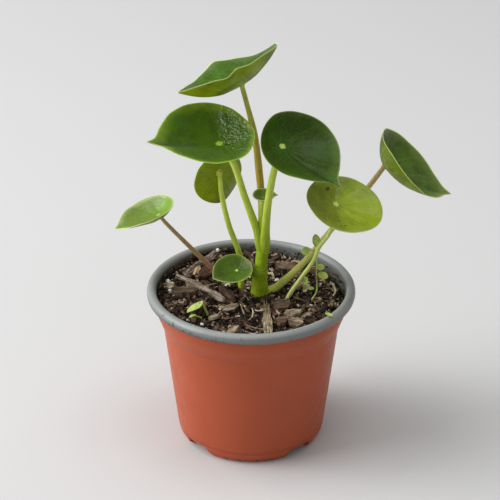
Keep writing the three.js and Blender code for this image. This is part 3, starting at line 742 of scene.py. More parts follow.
def peat(dark, bark):
    """The soil between the chips: near black, with brown crumbs and pale fibres."""

    def fill(tree):
        place = tree.place()
        tint = tree.parts(tree.cells(place, 620, output="Color"))[0]
        cloud = tree.effect(blotches_effect(), Place=place, Scale=120.0)
        base = tree.ramp(tint, (0.0, tinted(dark, 0.45)), (0.6, dark), (0.85, tinted(bark, 0.5)), (1.0, bark))
        base = tree.mix(cloud["Soft"] * 0.5, base, tinted(dark, 0.4))
        clods = tree.noise(place, 500, 4, 0.7)
        return base, cloud["Fine"].steps(0, 1, 0.8, 0.95), clods + tree.cells(place, 620)

    return surface("soil_peat", fill, 1.2, Specular_IOR_Level=0.2)


def white_grain(colour):
    """Perlite: white and pitted, stained brown in its hollows."""

    def fill(tree):
        place = tree.place()
        pits = tree.cells(place, 1500)
        cloud = tree.effect(blotches_effect(), Place=place, Scale=400.0)
        base = tree.coats(
            colour,
            (pits.steps(0.1, 0.5, 0.2, 0.0), paint(150, 132, 110)),
            (cloud["Soft"] * 0.1, paint(186, 170, 148)),
        )
        return base, cloud["Fine"].steps(0, 1, 0.75, 0.9), pits

    return surface("perlite_white", fill, 0.3, Specular_IOR_Level=0.3)


def weed_skin(colour):
    """Seedling leaves and threads: thin, light green, paler towards the stem's foot."""

    def fill(tree):
        place = tree.place()
        cloud = tree.effect(blotches_effect(), Place=place, Scale=300.0)
        pale = tinted(colour, 1.3, 0.05)
        base = tree.coats(
            colour,
            (cloud["Soft"], tinted(colour, 0.66)),
            (tree.parts(place)[2].steps(0.087, 0.1, 0.5, 0.0), pale),
            (cloud["Specks"] * 0.3, pale),
        )
        return base, cloud["Fine"].steps(0, 1, 0.42, 0.55), cloud["Fine"] + cloud["Soft"]

    return surface("weed_green", fill, 0.1, (0.15, GREEN_GLOW, 0.8), Specular_IOR_Level=0.4)


def floor_paper(colour):
    """Plain matt paper with a faint tooth."""

    def fill(tree):
        place = tree.place()
        base = tree.mix(tree.noise(place, 3, 2), colour, tinted(colour, 0.985))
        return base, tree.noise(place, 8, 2).steps(0.3, 0.7, 0.62, 0.68), tree.noise(place, 900, 2)

    return surface("floor_paper", fill, 0.02, Specular_IOR_Level=0.3)


# ---------------------------------------------------------------- shapes


def link(name, data):
    """A new object in the scene."""
    made = bpy.data.objects.new(name, data)
    bpy.context.scene.collection.objects.link(made)
    return made


def new_object(name, bm, *materials):
    """An object in the scene out of a bmesh, which is used up."""
    mesh = bpy.data.meshes.new(name)
    bm.to_mesh(mesh)
    bm.free()
    for material in materials:
        mesh.materials.append(material)
    return link(name, mesh)


def set_down(name, bm, materials, slot, *nodes, angle=None):
    """Turns a bmesh into a piece of the plant: it rides on the body and stands for its CAD nodes."""
    piece = new_object(name, bm, *materials)
    piece.data.shade_smooth()
    if angle is not None:
        piece.data.set_sharp_from_angle(angle=math.radians(angle))
    settle(piece, slot, *nodes)
    return piece


def settle(piece, slot, *nodes):
    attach(piece, "root")
    if nodes:
        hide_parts(*nodes)


def new_shape():
    """An empty bmesh with the layers that the finishes read."""
    bm = bmesh.new()
    bm.loops.layers.uv.new("blade")
    bm.verts.layers.float.new("below")
    bm.verts.layers.float.new("way")
    bm.verts.layers.float_vector.new("grain")
    bm.verts.layers.float_vector.new("tone")
    return bm


def tone_layer(bm):
    return bm.verts.layers.float_vector["tone"]


def only(parts, kind):
    return [part for part in parts if isinstance(part, kind)]


def faces_of(verts):
    return list(dict.fromkeys(face for vert in verts for face in vert.link_faces))


def edges_of(verts):
    return list(dict.fromkeys(edge for vert in verts for edge in vert.link_edges))


def rotation(degrees, axis):
    return Matrix.Rotation(math.radians(degrees), 4, axis)


def smooth_path(points, steps):
    """Points on a smooth line through the given ones, with steps to each span."""
    spots = [Vector(point) for point in points]
    path = []
    for i in range(len(spots) - 1):
        start, end = spots[i], spots[i + 1]
        before = spots[max(i - 1, 0)]
        after = spots[min(i + 2, len(spots) - 1)]
        reach = (end - start).length / 3
        leaving = start + (end - before).normalized() * reach
        arriving = end - (after - start).normalized() * reach
        path.extend(interpolate_bezier(start, leaving, arriving, end, steps + 1)[:-1])
    path.append(spots[-1])
    return path


def between(values, share):
    """The value at a share of the way along a list, eased from one to the next."""
    spot = share * (len(values) - 1)
    low = min(int(spot), len(values) - 2)
    part = spot - low
    return values[low] + (values[low + 1] - values[low]) * (part * part * (3 - 2 * part))


def add_bar(bm, points, radii, sides, steps, round_ends=(True, True), head=None, knurl=0.0, seed=0.0):
    """A closed round bar along a smooth line, extruded ring by ring. Points and radii are in millimetres.

    head is a blade's normal: the last rings flare and the end lies against the blade's lower side.
    knurl roughens the bar with lengthwise ridges, as a share of its radius.
    """
    path = smooth_path(points, steps)
    rings = [(spot, between(radii, i / (len(path) - 1))) for i, spot in enumerate(path)]
    if head:
        into = 1 if (path[-1] - path[-2]).dot(head) > 0 else -1
        rings = [ring for ring in rings if (ring[0] - path[-1]).length > 2.4]
        rings.append((path[-1] - (path[-1] - path[-2]).normalized() * 2.2, radii[-1] * 1.02))
        for gap, flare in ((1.2, 1.2), (0.55, 1.6), (0.25, 1.9)):
            rings.append((path[-1] - head * into * gap, radii[-1] * flare))
    bends = [math.radians(a) for a in (30, 55, 75)]
    if round_ends[1] and not head:
        onward, (last, width) = (path[-1] - path[-2]).normalized(), rings[-1]
        rings += [(last + onward * width * 0.8 * math.sin(a), width * math.cos(a)) for a in bends]
    if round_ends[0]:
        backward, (first, width) = (path[0] - path[1]).normalized(), rings[0]
        caps = [(first + backward * width * 0.8 * math.sin(a), width * math.cos(a)) for a in reversed(bends)]
        rings = caps + rings
    total = sum((b[0] - a[0]).length for a, b in zip(rings, rings[1:]))
    way, grain = bm.verts.layers.float["way"], bm.verts.layers.float_vector["grain"]
    turn = Vector((0, 0, 1)).rotation_difference(rings[1][0] - rings[0][0])
    done = 0.0
    made, edges = [], []
    for i, (spot, width) in enumerate(rings):
        aim = (rings[min(i + 1, len(rings) - 1)][0] - rings[max(i - 1, 0)][0]).normalized()
        if head and i >= len(rings) - 3:
            aim = head * (1 if aim.dot(head) > 0 else -1)
        turn = (turn @ Vector((0, 0, 1))).rotation_difference(aim) @ turn
        if i == 0:
            loop = bmesh.ops.create_circle(bm, segments=sides, radius=1.0)["verts"]
            edges = edges_of(loop)
            bmesh.ops.edgeloop_fill(bm, edges=edges)
        else:
            done += (spot - rings[i - 1][0]).length
            extruded = bmesh.ops.extrude_edge_only(bm, edges=edges)["geom"]
            loop = only(extruded, bmesh.types.BMVert)
            fresh = set(loop)
            edges = [edge for edge in only(extruded, bmesh.types.BMEdge) if set(edge.verts) <= fresh]
        for vert in loop:
            if i == 0:
                around = math.atan2(vert.co.y, vert.co.x)
                vert[grain] = (0, math.cos(around), math.sin(around))
            else:
                others = (edge.other_vert(vert) for edge in vert.link_edges)
                vert[grain] = next(other for other in others if other not in fresh)[grain]
            _, across, up = vert[grain]
            ridge = 1.0
            if knurl:
                ridge += knurl * noise.noise(Vector((done * 0.16 + seed, across * 2.6, up * 2.6)))
                ridge += 0.5 * knurl * noise.noise(Vector((done * 0.4 + seed, across * 5.5, up * 5.5)))
            vert.co = (spot + turn @ Vector((across, up, 0)) * width * ridge) * MM
            vert[way] = done / total
            vert[grain] = (0, across, up)
        made.append((loop, done, width))
    bmesh.ops.edgeloop_fill(bm, edges=edges)
    for loop, along, width in made:
        for vert in loop:
            _, across, up = vert[grain]
            vert[grain] = (along / 10, across * width / 10, up * width / 10)
    verts = [vert for loop, _, _ in made for vert in loop]
    bmesh.ops.recalc_face_normals(bm, faces=faces_of(verts))
    return verts


def blade_point(leaf, share, angle):
    """A place on a blade's middle: share is 0 at the stalk and 1 on the margin, angle 0 at the tip."""
    widest = math.acos(-leaf["drop"] / (2 * (1 + leaf["pinch"]) + leaf["drop"]))
    fullest = math.sin(widest) ** (1 + leaf["pinch"]) * math.sin(widest / 2) ** leaf["drop"]
    tip = leaf["tip"] * math.exp(-((angle / 0.22) ** 2))
    x = share * (leaf["length"] * (leaf["share"] - 0.5) + leaf["length"] / 2 * math.cos(angle) + tip)
    taper = abs(math.sin(angle)) ** leaf["pinch"] * abs(math.sin(angle / 2)) ** leaf["drop"]
    y = share * leaf["width"] / 2 * math.sin(angle) * taper / fullest
    ahead = max(x / (leaf["length"] * leaf["share"]), 0)
    behind = max(-x / (leaf["length"] * (1 - leaf["share"])), 0)
    z = leaf["cup"] * share**2 + leaf["fold"] * (y / (leaf["width"] / 2)) ** 2
    z += leaf["back"] * behind**2 - leaf["droop"] * ahead**3
    for middle, spread, lift in leaf.get("folds", ()):
        off = (math.degrees(angle) - middle + 180) % 360 - 180
        z += lift * share**4 * math.exp(-((off / spread) ** 2))
    size, quilt = leaf["length"], leaf.get("quilt", 0.0)
    z += quilt * size * share * (1 - share**3) * (1 - abs(math.cos(4.5 * angle))) * 0.012
    z += quilt * size * share * 0.016 * noise.noise(Vector((x, y, size)) * (5.5 / size))
    return Vector((x, y, z))


def blade_normal(leaf, share, angle):
    step = 0.02
    u, v = share * math.cos(angle), share * math.sin(angle)

    def near(du, dv):
        return blade_point(leaf, math.hypot(u + du, v + dv), math.atan2(v + dv, u + du))

    return (near(step, 0) - near(-step, 0)).cross(near(0, step) - near(0, -step)).normalized()


def blade_frame(leaf):
    leaning = rotation(leaf["facing"], "Z") @ rotation(leaf["lean"], "Y")
    return Matrix.Translation(leaf["at"]) @ leaning @ rotation(leaf["turn"], "Z")


def add_blade(bm, leaf, thickness, spokes=96, rings=20):
    """A thin closed blade: half its cross-section is spun into a lens, which then takes the leaf's shape."""
    uv, below = bm.loops.layers.uv["blade"], bm.verts.layers.float["below"]
    inner = [0.92 * (i / rings) for i in range(rings + 1)]
    upper = [(share, 1 - 0.4 * share**4) for share in inner]
    upper += [(0.95, 0.62), (0.972, 0.52), (0.988, 0.36), (0.997, 0.17)]
    lower = [(share, -height) for share, height in upper]
    section = [bm.verts.new((share, 0, height)) for share, height in upper + [(1.0, 0.0)] + lower[::-1]]
    edges = [bm.edges.new(pair) for pair in zip(section, section[1:])]
    known = set(bm.verts) - set(section)
    bmesh.ops.spin(bm, geom=section + edges, axis=(0, 0, 1), angle=math.tau, steps=spokes, use_merge=True)
    bmesh.ops.remove_doubles(bm, verts=[vert for vert in bm.verts if vert not in known], dist=1e-5)
    verts = [vert for vert in bm.verts if vert not in known]
    faces = faces_of(verts)
    bmesh.ops.recalc_face_normals(bm, faces=faces)
    for face in faces:
        turns = {}
        for loop in face.loops:
            if loop.vert.co.xy.length > 1e-4:
                turns[loop] = math.atan2(loop.vert.co.y, loop.vert.co.x) / math.tau + 0.5
        wraps = max(turns.values()) - min(turns.values()) > 0.5
        turns = {loop: value + (1 if wraps and value < 0.5 else 0) for loop, value in turns.items()}
        for loop in face.loops:
            turn = turns.get(loop, sum(turns.values()) / len(turns))
            loop[uv].uv = (turn, loop.vert.co.xy.length)
    placed = blade_frame(leaf)
    for vert in verts:
        x, y, height = vert.co
        share, angle = math.hypot(x, y), math.atan2(y, x)
        spot = blade_point(leaf, share, angle) + blade_normal(leaf, share, angle) * height * thickness / 2
        vert[below] = 0.5 - 0.5 * (height > 0) + 0.5 * (height < 0)
        vert.co = (placed @ spot) * MM


def add_slab(bm, size, place, tone, cuts, ragged, seed, square, warp, outline=None):
    """A piece of bark: a grid trimmed to a ragged outline, thickened, bevelled at its rims and roughened."""
    length, width, thickness = size
    grain, tones = bm.verts.layers.float_vector["grain"], tone_layer(bm)
    made = bmesh.ops.create_grid(bm, x_segments=cuts[0], y_segments=cuts[1], size=1.0)["verts"]

    def reach(x, side):
        """How far the outline reaches to a side, -1 or 1, at a share of the length."""
        if outline:
            edge = sorted(spot for spot in outline if spot[1] * side > 0)
            low = max((spot for spot in edge if spot[0] <= x), default=edge[0])
            high = min((spot for spot in edge if spot[0] >= x), default=edge[-1])
            part = (x - low[0]) / max(high[0] - low[0], 1e-6)
            base = abs(low[1] + (high[1] - low[1]) * part)
        else:
            base = (1 - abs(x) ** square * 0.92) ** (1 / 1.6)
        return base * (1 + ragged * noise.noise(Vector((x * 2.4 + seed, side * 3.1, seed * 1.7))))

    for vert in made:
        x, y = vert.co.x, vert.co.y
        wide = reach(x, 1 if y > 0 else -1)
        ending = abs(x) ** 6 * ragged * 1.6 * noise.noise(Vector((seed, y * 3.2, x * 2)))
        vert.co = ((x + ending) * length / 2, y * wide * width / 2, 0)
    raised = bmesh.ops.extrude_face_region(bm, geom=faces_of(made), use_keep_orig=True)["geom"]
    raised = only(raised, bmesh.types.BMVert)
    bmesh.ops.translate(bm, verts=raised, vec=(0, 0, thickness))
    bmesh.ops.translate(bm, verts=made + raised, vec=(0, 0, -thickness / 2))
    rims = [edge for edge in edges_of(made + raised)
            if len(edge.link_faces) == 2 and edge.calc_face_angle(0) > 0.8]
    if cuts[0] > 4:
        bmesh.ops.bevel(bm, geom=rims, offset=thickness * 0.22, segments=2, affect="EDGES", profile=0.5,
                        material=-1, clamp_overlap=True)
    reached, waiting = set(), [next(vert for vert in made if vert.is_valid)]
    while waiting:
        vert = waiting.pop()
        if vert in reached:
            continue
        reached.add(vert)
        waiting.extend(edge.other_vert(vert) for edge in vert.link_edges)
    verts = list(reached)
    for vert in verts:
        x, y, z = vert.co
        vert[grain] = (x / 10, y / 10, z / 10)
        vert[tones] = tone
        side = 1 if z > 0 else -1
        ridges = noise.noise(Vector((x * 0.22 + seed, y * 1.5, side * 4.0)))
        ridges += 0.5 * noise.noise(Vector((x * 0.5 + seed, y * 3.2, side * 7.0)))
        bow = warp * length * (noise.noise(Vector((x / length * 1.6 + seed, y / width * 0.8, 0.5))))
        swell = 1 + 0.24 * noise.noise(Vector((x * 0.4, y * 0.4, seed)))
        vert.co.z = z * swell + ridges * thickness * 0.14 + bow
    bmesh.ops.recalc_face_normals(bm, faces=faces_of(verts))
    bmesh.ops.transform(bm, matrix=Matrix.Scale(MM, 4) @ place, verts=verts)
    return verts


def add_lump(bm, radius, place, tone, finer, rough, seed, shape):
    """A rounded crumb or grain: a ball pushed in and out."""
    pitch = 1.6
    grain, tones = bm.verts.layers.float_vector["grain"], tone_layer(bm)
    verts = bmesh.ops.create_icosphere(bm, subdivisions=finer, radius=1.0)["verts"]
    for vert in verts:
        bulge = noise.noise(vert.co * pitch + Vector((seed, seed * 2, 0)))
        bulge += 0.5 * noise.noise(vert.co * pitch * 2.3 + Vector((0, seed, seed * 3)))
        vert.co *= radius * (1 + rough * bulge)
        vert.co = (vert.co.x * shape[0], vert.co.y * shape[1], vert.co.z * shape[2])
        vert[grain] = vert.co / 10
        vert[tones] = tone
    bmesh.ops.transform(bm, matrix=Matrix.Scale(MM, 4) @ place, verts=verts)
    return verts


def lying(x, y, turn=0.0, tilt=0.0, pitch=0.0, lift=0.0):
    """Where a loose piece lies on the soil; angles in degrees, the rest in millimetres."""
    spin = rotation(turn, "Z") @ rotation(tilt, "X")
    return Matrix.Translation((x, y, soil_height(x, y) + lift)) @ spin @ rotation(pitch, "Y")


def in_metres(place, size):
    """A place in millimetres, turned into one in metres for a shape that grows to a size."""
    return Matrix.Translation(place.translation * MM) @ place.to_3x3().to_4x4() @ Matrix.Scale(size, 4)


def channel_ways():
    """The way out that each drainage channel takes."""
    angles = [math.radians(CHANNEL["first"] + i * 360 / CHANNEL["count"]) for i in range(CHANNEL["count"])]
    return [(math.sin(angle), -math.cos(angle)) for angle in angles]


def channel_lift(x, y, clearance=0.0):
    """How high the base stands over the bench at a place, where one of the drainage channels crosses it."""
    highest = 0.0
    for out in channel_ways():
        along = x * out[0] + y * out[1]
        across = abs(x * out[1] - y * out[0])
        edge = CHANNEL["half_width"] + clearance
        sideways = min(max((edge + 0.8 - across) / 1.6, 0), 1)
        inside = sideways * min(max((along - CHANNEL["inner"] + 1.3) / 2.6, 0), 1)
        highest = max(highest, inside * inside * (3 - 2 * inside))
    return highest * (CHANNEL["height"] + clearance)


def spun(bm, profile, steps):
    """A turned shell about +Z from radius and height pairs in millimetres; its pole is closed."""
    line = [bm.verts.new((radius, 0, height)) for radius, height in profile]
    edges = [bm.edges.new(pair) for pair in zip(line, line[1:])]
    bmesh.ops.spin(bm, geom=line + edges, axis=(0, 0, 1), angle=math.tau, steps=steps, use_merge=True)
    bmesh.ops.remove_doubles(bm, verts=bm.verts, dist=1e-4)
    bmesh.ops.recalc_face_normals(bm, faces=bm.faces)
    base = min(bm.faces, key=lambda face: face.calc_center_median().z)
    if base.normal.z > 0:
        bmesh.ops.reverse_faces(bm, faces=bm.faces)


def bake_modifiers(piece):
    """Keeps the shape that a piece's modifiers give it, and takes the modifiers off."""
    shape = piece.evaluated_get(bpy.context.evaluated_depsgraph_get())
    shaped = bpy.data.meshes.new_from_object(shape)
    piece.modifiers.clear()
    piece.data = shaped


def join(pieces, name):
    """One object out of several."""
    with bpy.context.temp_override(active_object=pieces[0], object=pieces[0], selected_objects=pieces,
                                   selected_editable_objects=pieces):
        bpy.ops.object.join()
    pieces[0].name = name
    return pieces[0]


# ---------------------------------------------------------------- the steps that build the plant


class HOUSEPLANT_OT_stage(bpy.types.Operator):
    """Floor, soft lights and the camera"""

    bl_idname = "houseplant.stage"
    bl_label = "Stage"

    def execute(self, context):
        options = context.scene.houseplant_stage
        bm = bmesh.new()
        bmesh.ops.create_grid(bm, x_segments=8, y_segments=8, size=6.0)
        new_object("floor", bm, floor_paper(tuple(options.floor)))
        for name, (spot, aim, size, share) in LAMPS.items():
            lamp = bpy.data.lights.new(name, "AREA")
            lamp.shape = "DISK"
            lamp.size = size
            lamp.energy = options.window * share
            made = link(name, lamp)
            made.location = spot
            made.rotation_euler = (Vector(aim) - Vector(spot)).to_track_quat("-Z", "Y").to_euler()
        world = bpy.data.worlds.new("soft_room")
        world.use_nodes = True
        background = world.node_tree.nodes["Background"].inputs
        background["Color"].default_value = (1, 1, 1, 1)
        background["Strength"].default_value = ROOM_LIGHT
        context.scene.world = world
        context.scene.view_settings.view_transform = "Standard"
        lens = bpy.data.cameras.new("camera")
        lens.sensor_width = 36
        lens.lens = CAMERA_LENS
        lens.clip_end = 50
        camera = link("camera", lens)
        camera.location = CAMERA_PLACE
        camera.rotation_euler = (math.radians(CAMERA_TIP), 0, 0)
        context.scene.camera = camera
        return {"FINISHED"}


class HOUSEPLANT_OT_pot(bpy.types.Operator):
    """Nursery pot moulded from one two-layer sheet, with its rolled rim, drainage channels and holes"""

    bl_idname = "houseplant.pot"
    bl_label = "Pot"

    def execute(self, context):
        options = context.scene.houseplant_pot
        bm = bmesh.new()
        spun(bm, SHEET, POT_STEPS)
        for vert in bm.verts:
            x, y, z = vert.co
            radius = math.hypot(x, y)
            lift = channel_lift(x, y)
            if 35.5 < radius and z < 3.2:
                angle = math.degrees(math.atan2(x, -y))
                for mark in FOOT_MARKS:
                    notch = FOOT_MARK_HEIGHT * math.exp(-(((angle - mark) / FOOT_MARK_WIDTH) ** 4))
                    lift = max(lift, notch)
            if z < lift:
                vert.co.z = lift
            elif z < 9 and lift > 1:
                vert.co.z = z + 0.25 * max(0, lift - abs(z - lift))
            swell = 1 + 0.0012 * math.sin(3 * math.atan2(y, x) + 1) * min(max(z / 40, 0), 1)
            vert.co.x *= swell
            vert.co.y *= swell
        bmesh.ops.transform(bm, matrix=Matrix.Scale(MM, 4), verts=bm.verts)
        skins = [terracotta_sheet(tuple(options.outside)), grey_sheet(tuple(options.inside))]
        pot = set_down("nursery_pot_sheet", bm, skins, "pot", "nursery_pot", angle=50)
        wall = pot.modifiers.new("wall", "SOLIDIFY")
        wall.thickness = options.sheet
        wall.offset = -1
        wall.material_offset = 1
        wall.material_offset_rim = 1
        drills = bmesh.new()
        width = CHANNEL["hole_radius"] * MM
        for x, y in channel_ways():
            spot = Vector((x, y, 0)) * CHANNEL["hole_at"] * MM + Vector((0, 0, CHANNEL["height"] * MM))
            bmesh.ops.create_cone(drills, cap_ends=True, segments=28, radius1=width, radius2=width,
                                  depth=6 * MM, matrix=Matrix.Translation(spot))
        drill = new_object("drills", drills)
        holes = pot.modifiers.new("holes", "BOOLEAN")
        holes.operation = "DIFFERENCE"
        holes.solver = "EXACT"
        holes.object = drill
        bake_modifiers(pot)
        mesh = drill.data
        bpy.data.objects.remove(drill)
        bpy.data.meshes.remove(mesh)
        return {"FINISHED"}


class HOUSEPLANT_OT_soil(bpy.types.Operator):
    """Potting soil: a crumbly plug with bark chips, crumbs and fibres strewn over it"""

    bl_idname = "houseplant.soil"
    bl_label = "Soil"

    def plug(self, skin):
        bm = bmesh.new()
        side = [(0, 1.6), (8, 1.6), (15, 1.6), (22, 1.6), (30, 1.6), (37.6, 1.7), (39.6, 3.4), (40.9, 6),
                (41.5, 9.2), (45, 40), (49.4, 76.8), (50.8, 80.2), (52.4, 82.6)]
        top = [(SOIL_RADIUS * (i / SOIL_RINGS) ** 0.8, SOIL_LEVEL) for i in range(SOIL_RINGS, -1, -1)]
        spun(bm, side + top, SOIL_STEPS)
        for vert in bm.verts:
            x, y, z = vert.co
            if z > SOIL_LEVEL - 0.1:
                rim = min((SOIL_RADIUS - math.hypot(x, y)) / 1.5, 1)
                clods = 0.0
                for height, level, pitch in ((0.75, 3, 0.22), (0.75, 9, 0.5), (0.55, 5, 1.1)):
                    clods += height * noise.noise(Vector((x, y, level)) * pitch)
                rim *= min(max((math.hypot(x - STEM_FOOT[0], y - STEM_FOOT[1]) - 5) / 5, 0), 1)
                vert.co.z = soil_height(x, y) - 0.5 + clods * rim
            else:
                vert.co.z = max(z, channel_lift(x, y, 1.0) + 1.4)
        bmesh.ops.transform(bm, matrix=Matrix.Scale(MM, 4), verts=bm.verts)
        set_down("potting_soil_plug", bm, [skin], "soil", "potting_soil")

    def strew(self, name, count, seed, skin, make, weights, span):
        """Lays copies of a few small shapes at random over the soil, in batches that are then joined."""
        chance = random.Random(seed)
        batches = []
        while count > 0:
            bm = new_shape()
            kinds = [make(bm, i) for i in range(len(weights))]
            tones = tone_layer(bm)
            for _ in range(min(count, BATCH)):
                chosen = chance.choices(kinds, weights)[0]
                shapes = [*chosen, *faces_of(chosen), *edges_of(chosen)]
                verts = only(bmesh.ops.duplicate(bm, geom=shapes)["geom"], bmesh.types.BMVert)
                place, tone = span(chance)
                for vert in verts:
                    vert[tones] = tone
                bmesh.ops.transform(bm, matrix=place, verts=verts)
            bmesh.ops.delete(bm, geom=[vert for kind in kinds for vert in kind], context="VERTS")
            count -= BATCH
            batches.append(new_object(name, bm, skin))
        settle(join(batches, name), "soil")

    def execute(self, context):
        options = context.scene.houseplant_soil
        dark, bark, split = tuple(options.dark), tuple(options.bark), tuple(options.split)
        self.plug(peat(dark, bark))
        skin = woody("soil_chips", tinted(dark, 0.6), bark, split, paint(150, 84, 70))

        def chip(bm, i):
            size = ((1, 0.62, 0.3), (1, 0.42, 0.26), (1, 0.8, 0.34), (1, 0.24, 0.2), (1, 0.5, 0.45),
                    (1, 0.7, 0.2), (1, 0.34, 0.3))[i]
            return add_slab(bm, size, Matrix.Identity(4), (0, 0, 0), (4, 3), 0.5, i * 3.7 + 1,
                            (2.2, 5, 3)[i % 3], 0.1)

        def crumb(bm, i):
            shape = ((1, 0.8, 0.6), (1, 0.6, 0.7), (1, 0.9, 0.7), (1, 0.55, 0.5))[i]
            finer = 1 if i < 2 else 0
            return add_lump(bm, 0.5, Matrix.Identity(4), (0, 0, 0), finer, 0.75, i * 2.3 + 0.7, shape)

        def hair(bm, i):
            bend = (3, -4, 5)[i]
            line = ((-5, 0, 0), (-2.5, bend * 0.35, 0.3), (0, bend * 0.45, 0.5), (2.5, bend * 0.2, 0.3),
                    (5, -bend * 0.3, 0))
            return add_bar(bm, [[c / 10 for c in spot] for spot in line], (0.016, 0.024, 0.02, 0.022, 0.012),
                           sides=4, steps=2, round_ends=(False, False))

        def spot(chance, size, lift, lean):
            """A place for a shape of a size; under the stem and the larger bark it lies deeper."""
            away = (SOIL_RADIUS - 0.6 - size / 2) * math.sqrt(chance.random())
            around = chance.random() * math.tau
            x, y = away * math.cos(around), away * math.sin(around)
            near_stem = math.hypot(x - STEM_CLEARING[0], y - STEM_CLEARING[1]) < STEM_CLEARING[2] + size / 2
            if near_stem or under_bark(x, y):
                lift -= 1.2
            place = lying(x, y, chance.uniform(0, 360), chance.gauss(0, lean), chance.gauss(0, lean), lift)
            return in_metres(place, size)

        def strewn(least, rate, most, darkest, tones, lifts, lean):
            """Draws for chips and crumbs: a size, one of three families of tones, a place and a grain."""

            def span(chance):
                size = min(least + chance.expovariate(rate), most)
                tone = min(max(chance.gauss(*chance.choice(tones)), darkest), 1)
                place = spot(chance, size, chance.uniform(*lifts), lean)
                return place, (tone, chance.random(), chance.random() * 9)

            return span

        def hair_span(chance):
            place = spot(chance, chance.uniform(6, 15), chance.uniform(0.5, 1.1), 7)
            return place, (chance.uniform(0.4, 0.7), 0.4, chance.random())

        def clinging_span(chance):
            """A crumb on the pot's wall just above the soil, more often at the left, below the rim."""
            around = math.radians(chance.choice((chance.uniform(100, 250), chance.uniform(0, 360))))
            toward = (math.cos(around), math.sin(around))
            free = POT_HEIGHT / MM - 3.2 - soil_height(SOIL_RADIUS * toward[0], SOIL_RADIUS * toward[1])
            up = max(min(chance.expovariate(0.55), free), 0)
            away = SOIL_RADIUS + 0.14 * up - 0.2
            size = chance.uniform(0.6, 2.2)
            place = lying(away * toward[0], away * toward[1], chance.uniform(0, 360), chance.gauss(0, 60),
                          chance.gauss(0, 60), up)
            return in_metres(place, size), (chance.uniform(0.02, 0.5), chance.random(), chance.random() * 9)

        chip_span = strewn(1.9, 0.7, 8.5, 0.02, ((0.12, 0.07), (0.32, 0.12), (0.7, 0.2)), (-0.5, 1.1), 22)
        crumb_span = strewn(0.7, 1.4, 3.4, 0.0, ((0.08, 0.05), (0.22, 0.1), (0.62, 0.22)), (-0.3, 0.8), 90)
        crumb_weights, seed = (2, 2, 3, 3), options.seed
        self.strew("soil_clinging_crumbs", options.crumbs // 8, seed + 3, skin, crumb, crumb_weights,
                   clinging_span)
        self.strew("soil_chips", options.chips, seed, skin, chip, (6, 3, 5, 1, 5, 5, 2), chip_span)
        self.strew("soil_crumbs", options.crumbs, seed + 1, skin, crumb, crumb_weights, crumb_span)
        self.strew("soil_fibres", options.chips // 26, seed + 2, skin, hair, (1, 1, 1), hair_span)
        return {"FINISHED"}


class HOUSEPLANT_OT_leaves(bpy.types.Operator):
    """The nine blades, each with its own cup, folds and finish"""

    bl_idname = "houseplant.leaves"
    bl_label = "Leaves"

    def execute(self, context):
        options = context.scene.houseplant_leaves
        under, margin = tuple(options.under), tuple(options.margin)

        def skin(name, colour, shade=0.76, below=under, rim_colour=margin, **finish):
            upper = tuple(colour)
            return leaf_skin(f"leaf_{name}", upper, tinted(upper, shade), below, rim_colour, **finish)

        skins = {
            "old": skin("old", options.dark, lines=0.04, coat=0.16, shine=0.1, rim=0.1, wrinkle=3.2,
                        edge=0.35),
            "rimmed": skin("rimmed", options.dark, rim_colour=paint(208, 220, 148), lines=0.04, coat=0.04,
                           shine=0.16, rim=0.1, wrinkle=2.0),
            "glossy": skin("glossy", options.glossy, rim_colour=paint(166, 196, 60), lines=0.03, coat=1.0,
                           shine=0.35, rim=0.75, wrinkle=6.5),
            "mottled": skin("mottled", options.olive, 0.62, blush=paint(166, 184, 24), specks=0.6, lines=0.05,
                            marks=BLEMISHES),
            "fresh": skin("fresh", options.fresh, 0.8, rim_colour=paint(212, 224, 160), specks=0.1,
                          lines=0.02, coat=0.55, wrinkle=1.4, rim=0.5, dot=0.3, film=0.42),
            "shaded": skin("shaded", options.shaded, below=tinted(under, 0.8), gloss=0.36),
        }
        kinds = {"top": "rimmed", "upper_left": "glossy", "upper_right": "old", "near_right": "mottled",
                 "far_right": "shaded", "back": "mottled", "left": "fresh", "low": "shaded", "young": "fresh"}
        for name, leaf in LEAVES.items():
            bm = new_shape()
            big = leaf["length"] > 30
            shaped = dict(leaf, folds=FOLDS[name], quilt=leaf.get("quilt", 0.7))
            add_blade(bm, shaped, options.thickness / MM, 112 if big else 64, 22 if big else 12)
            set_down(f"leaf_{name}_blade", bm, [skins[kinds[name]]], "leaf", f"leaf_{name}")
        return {"FINISHED"}


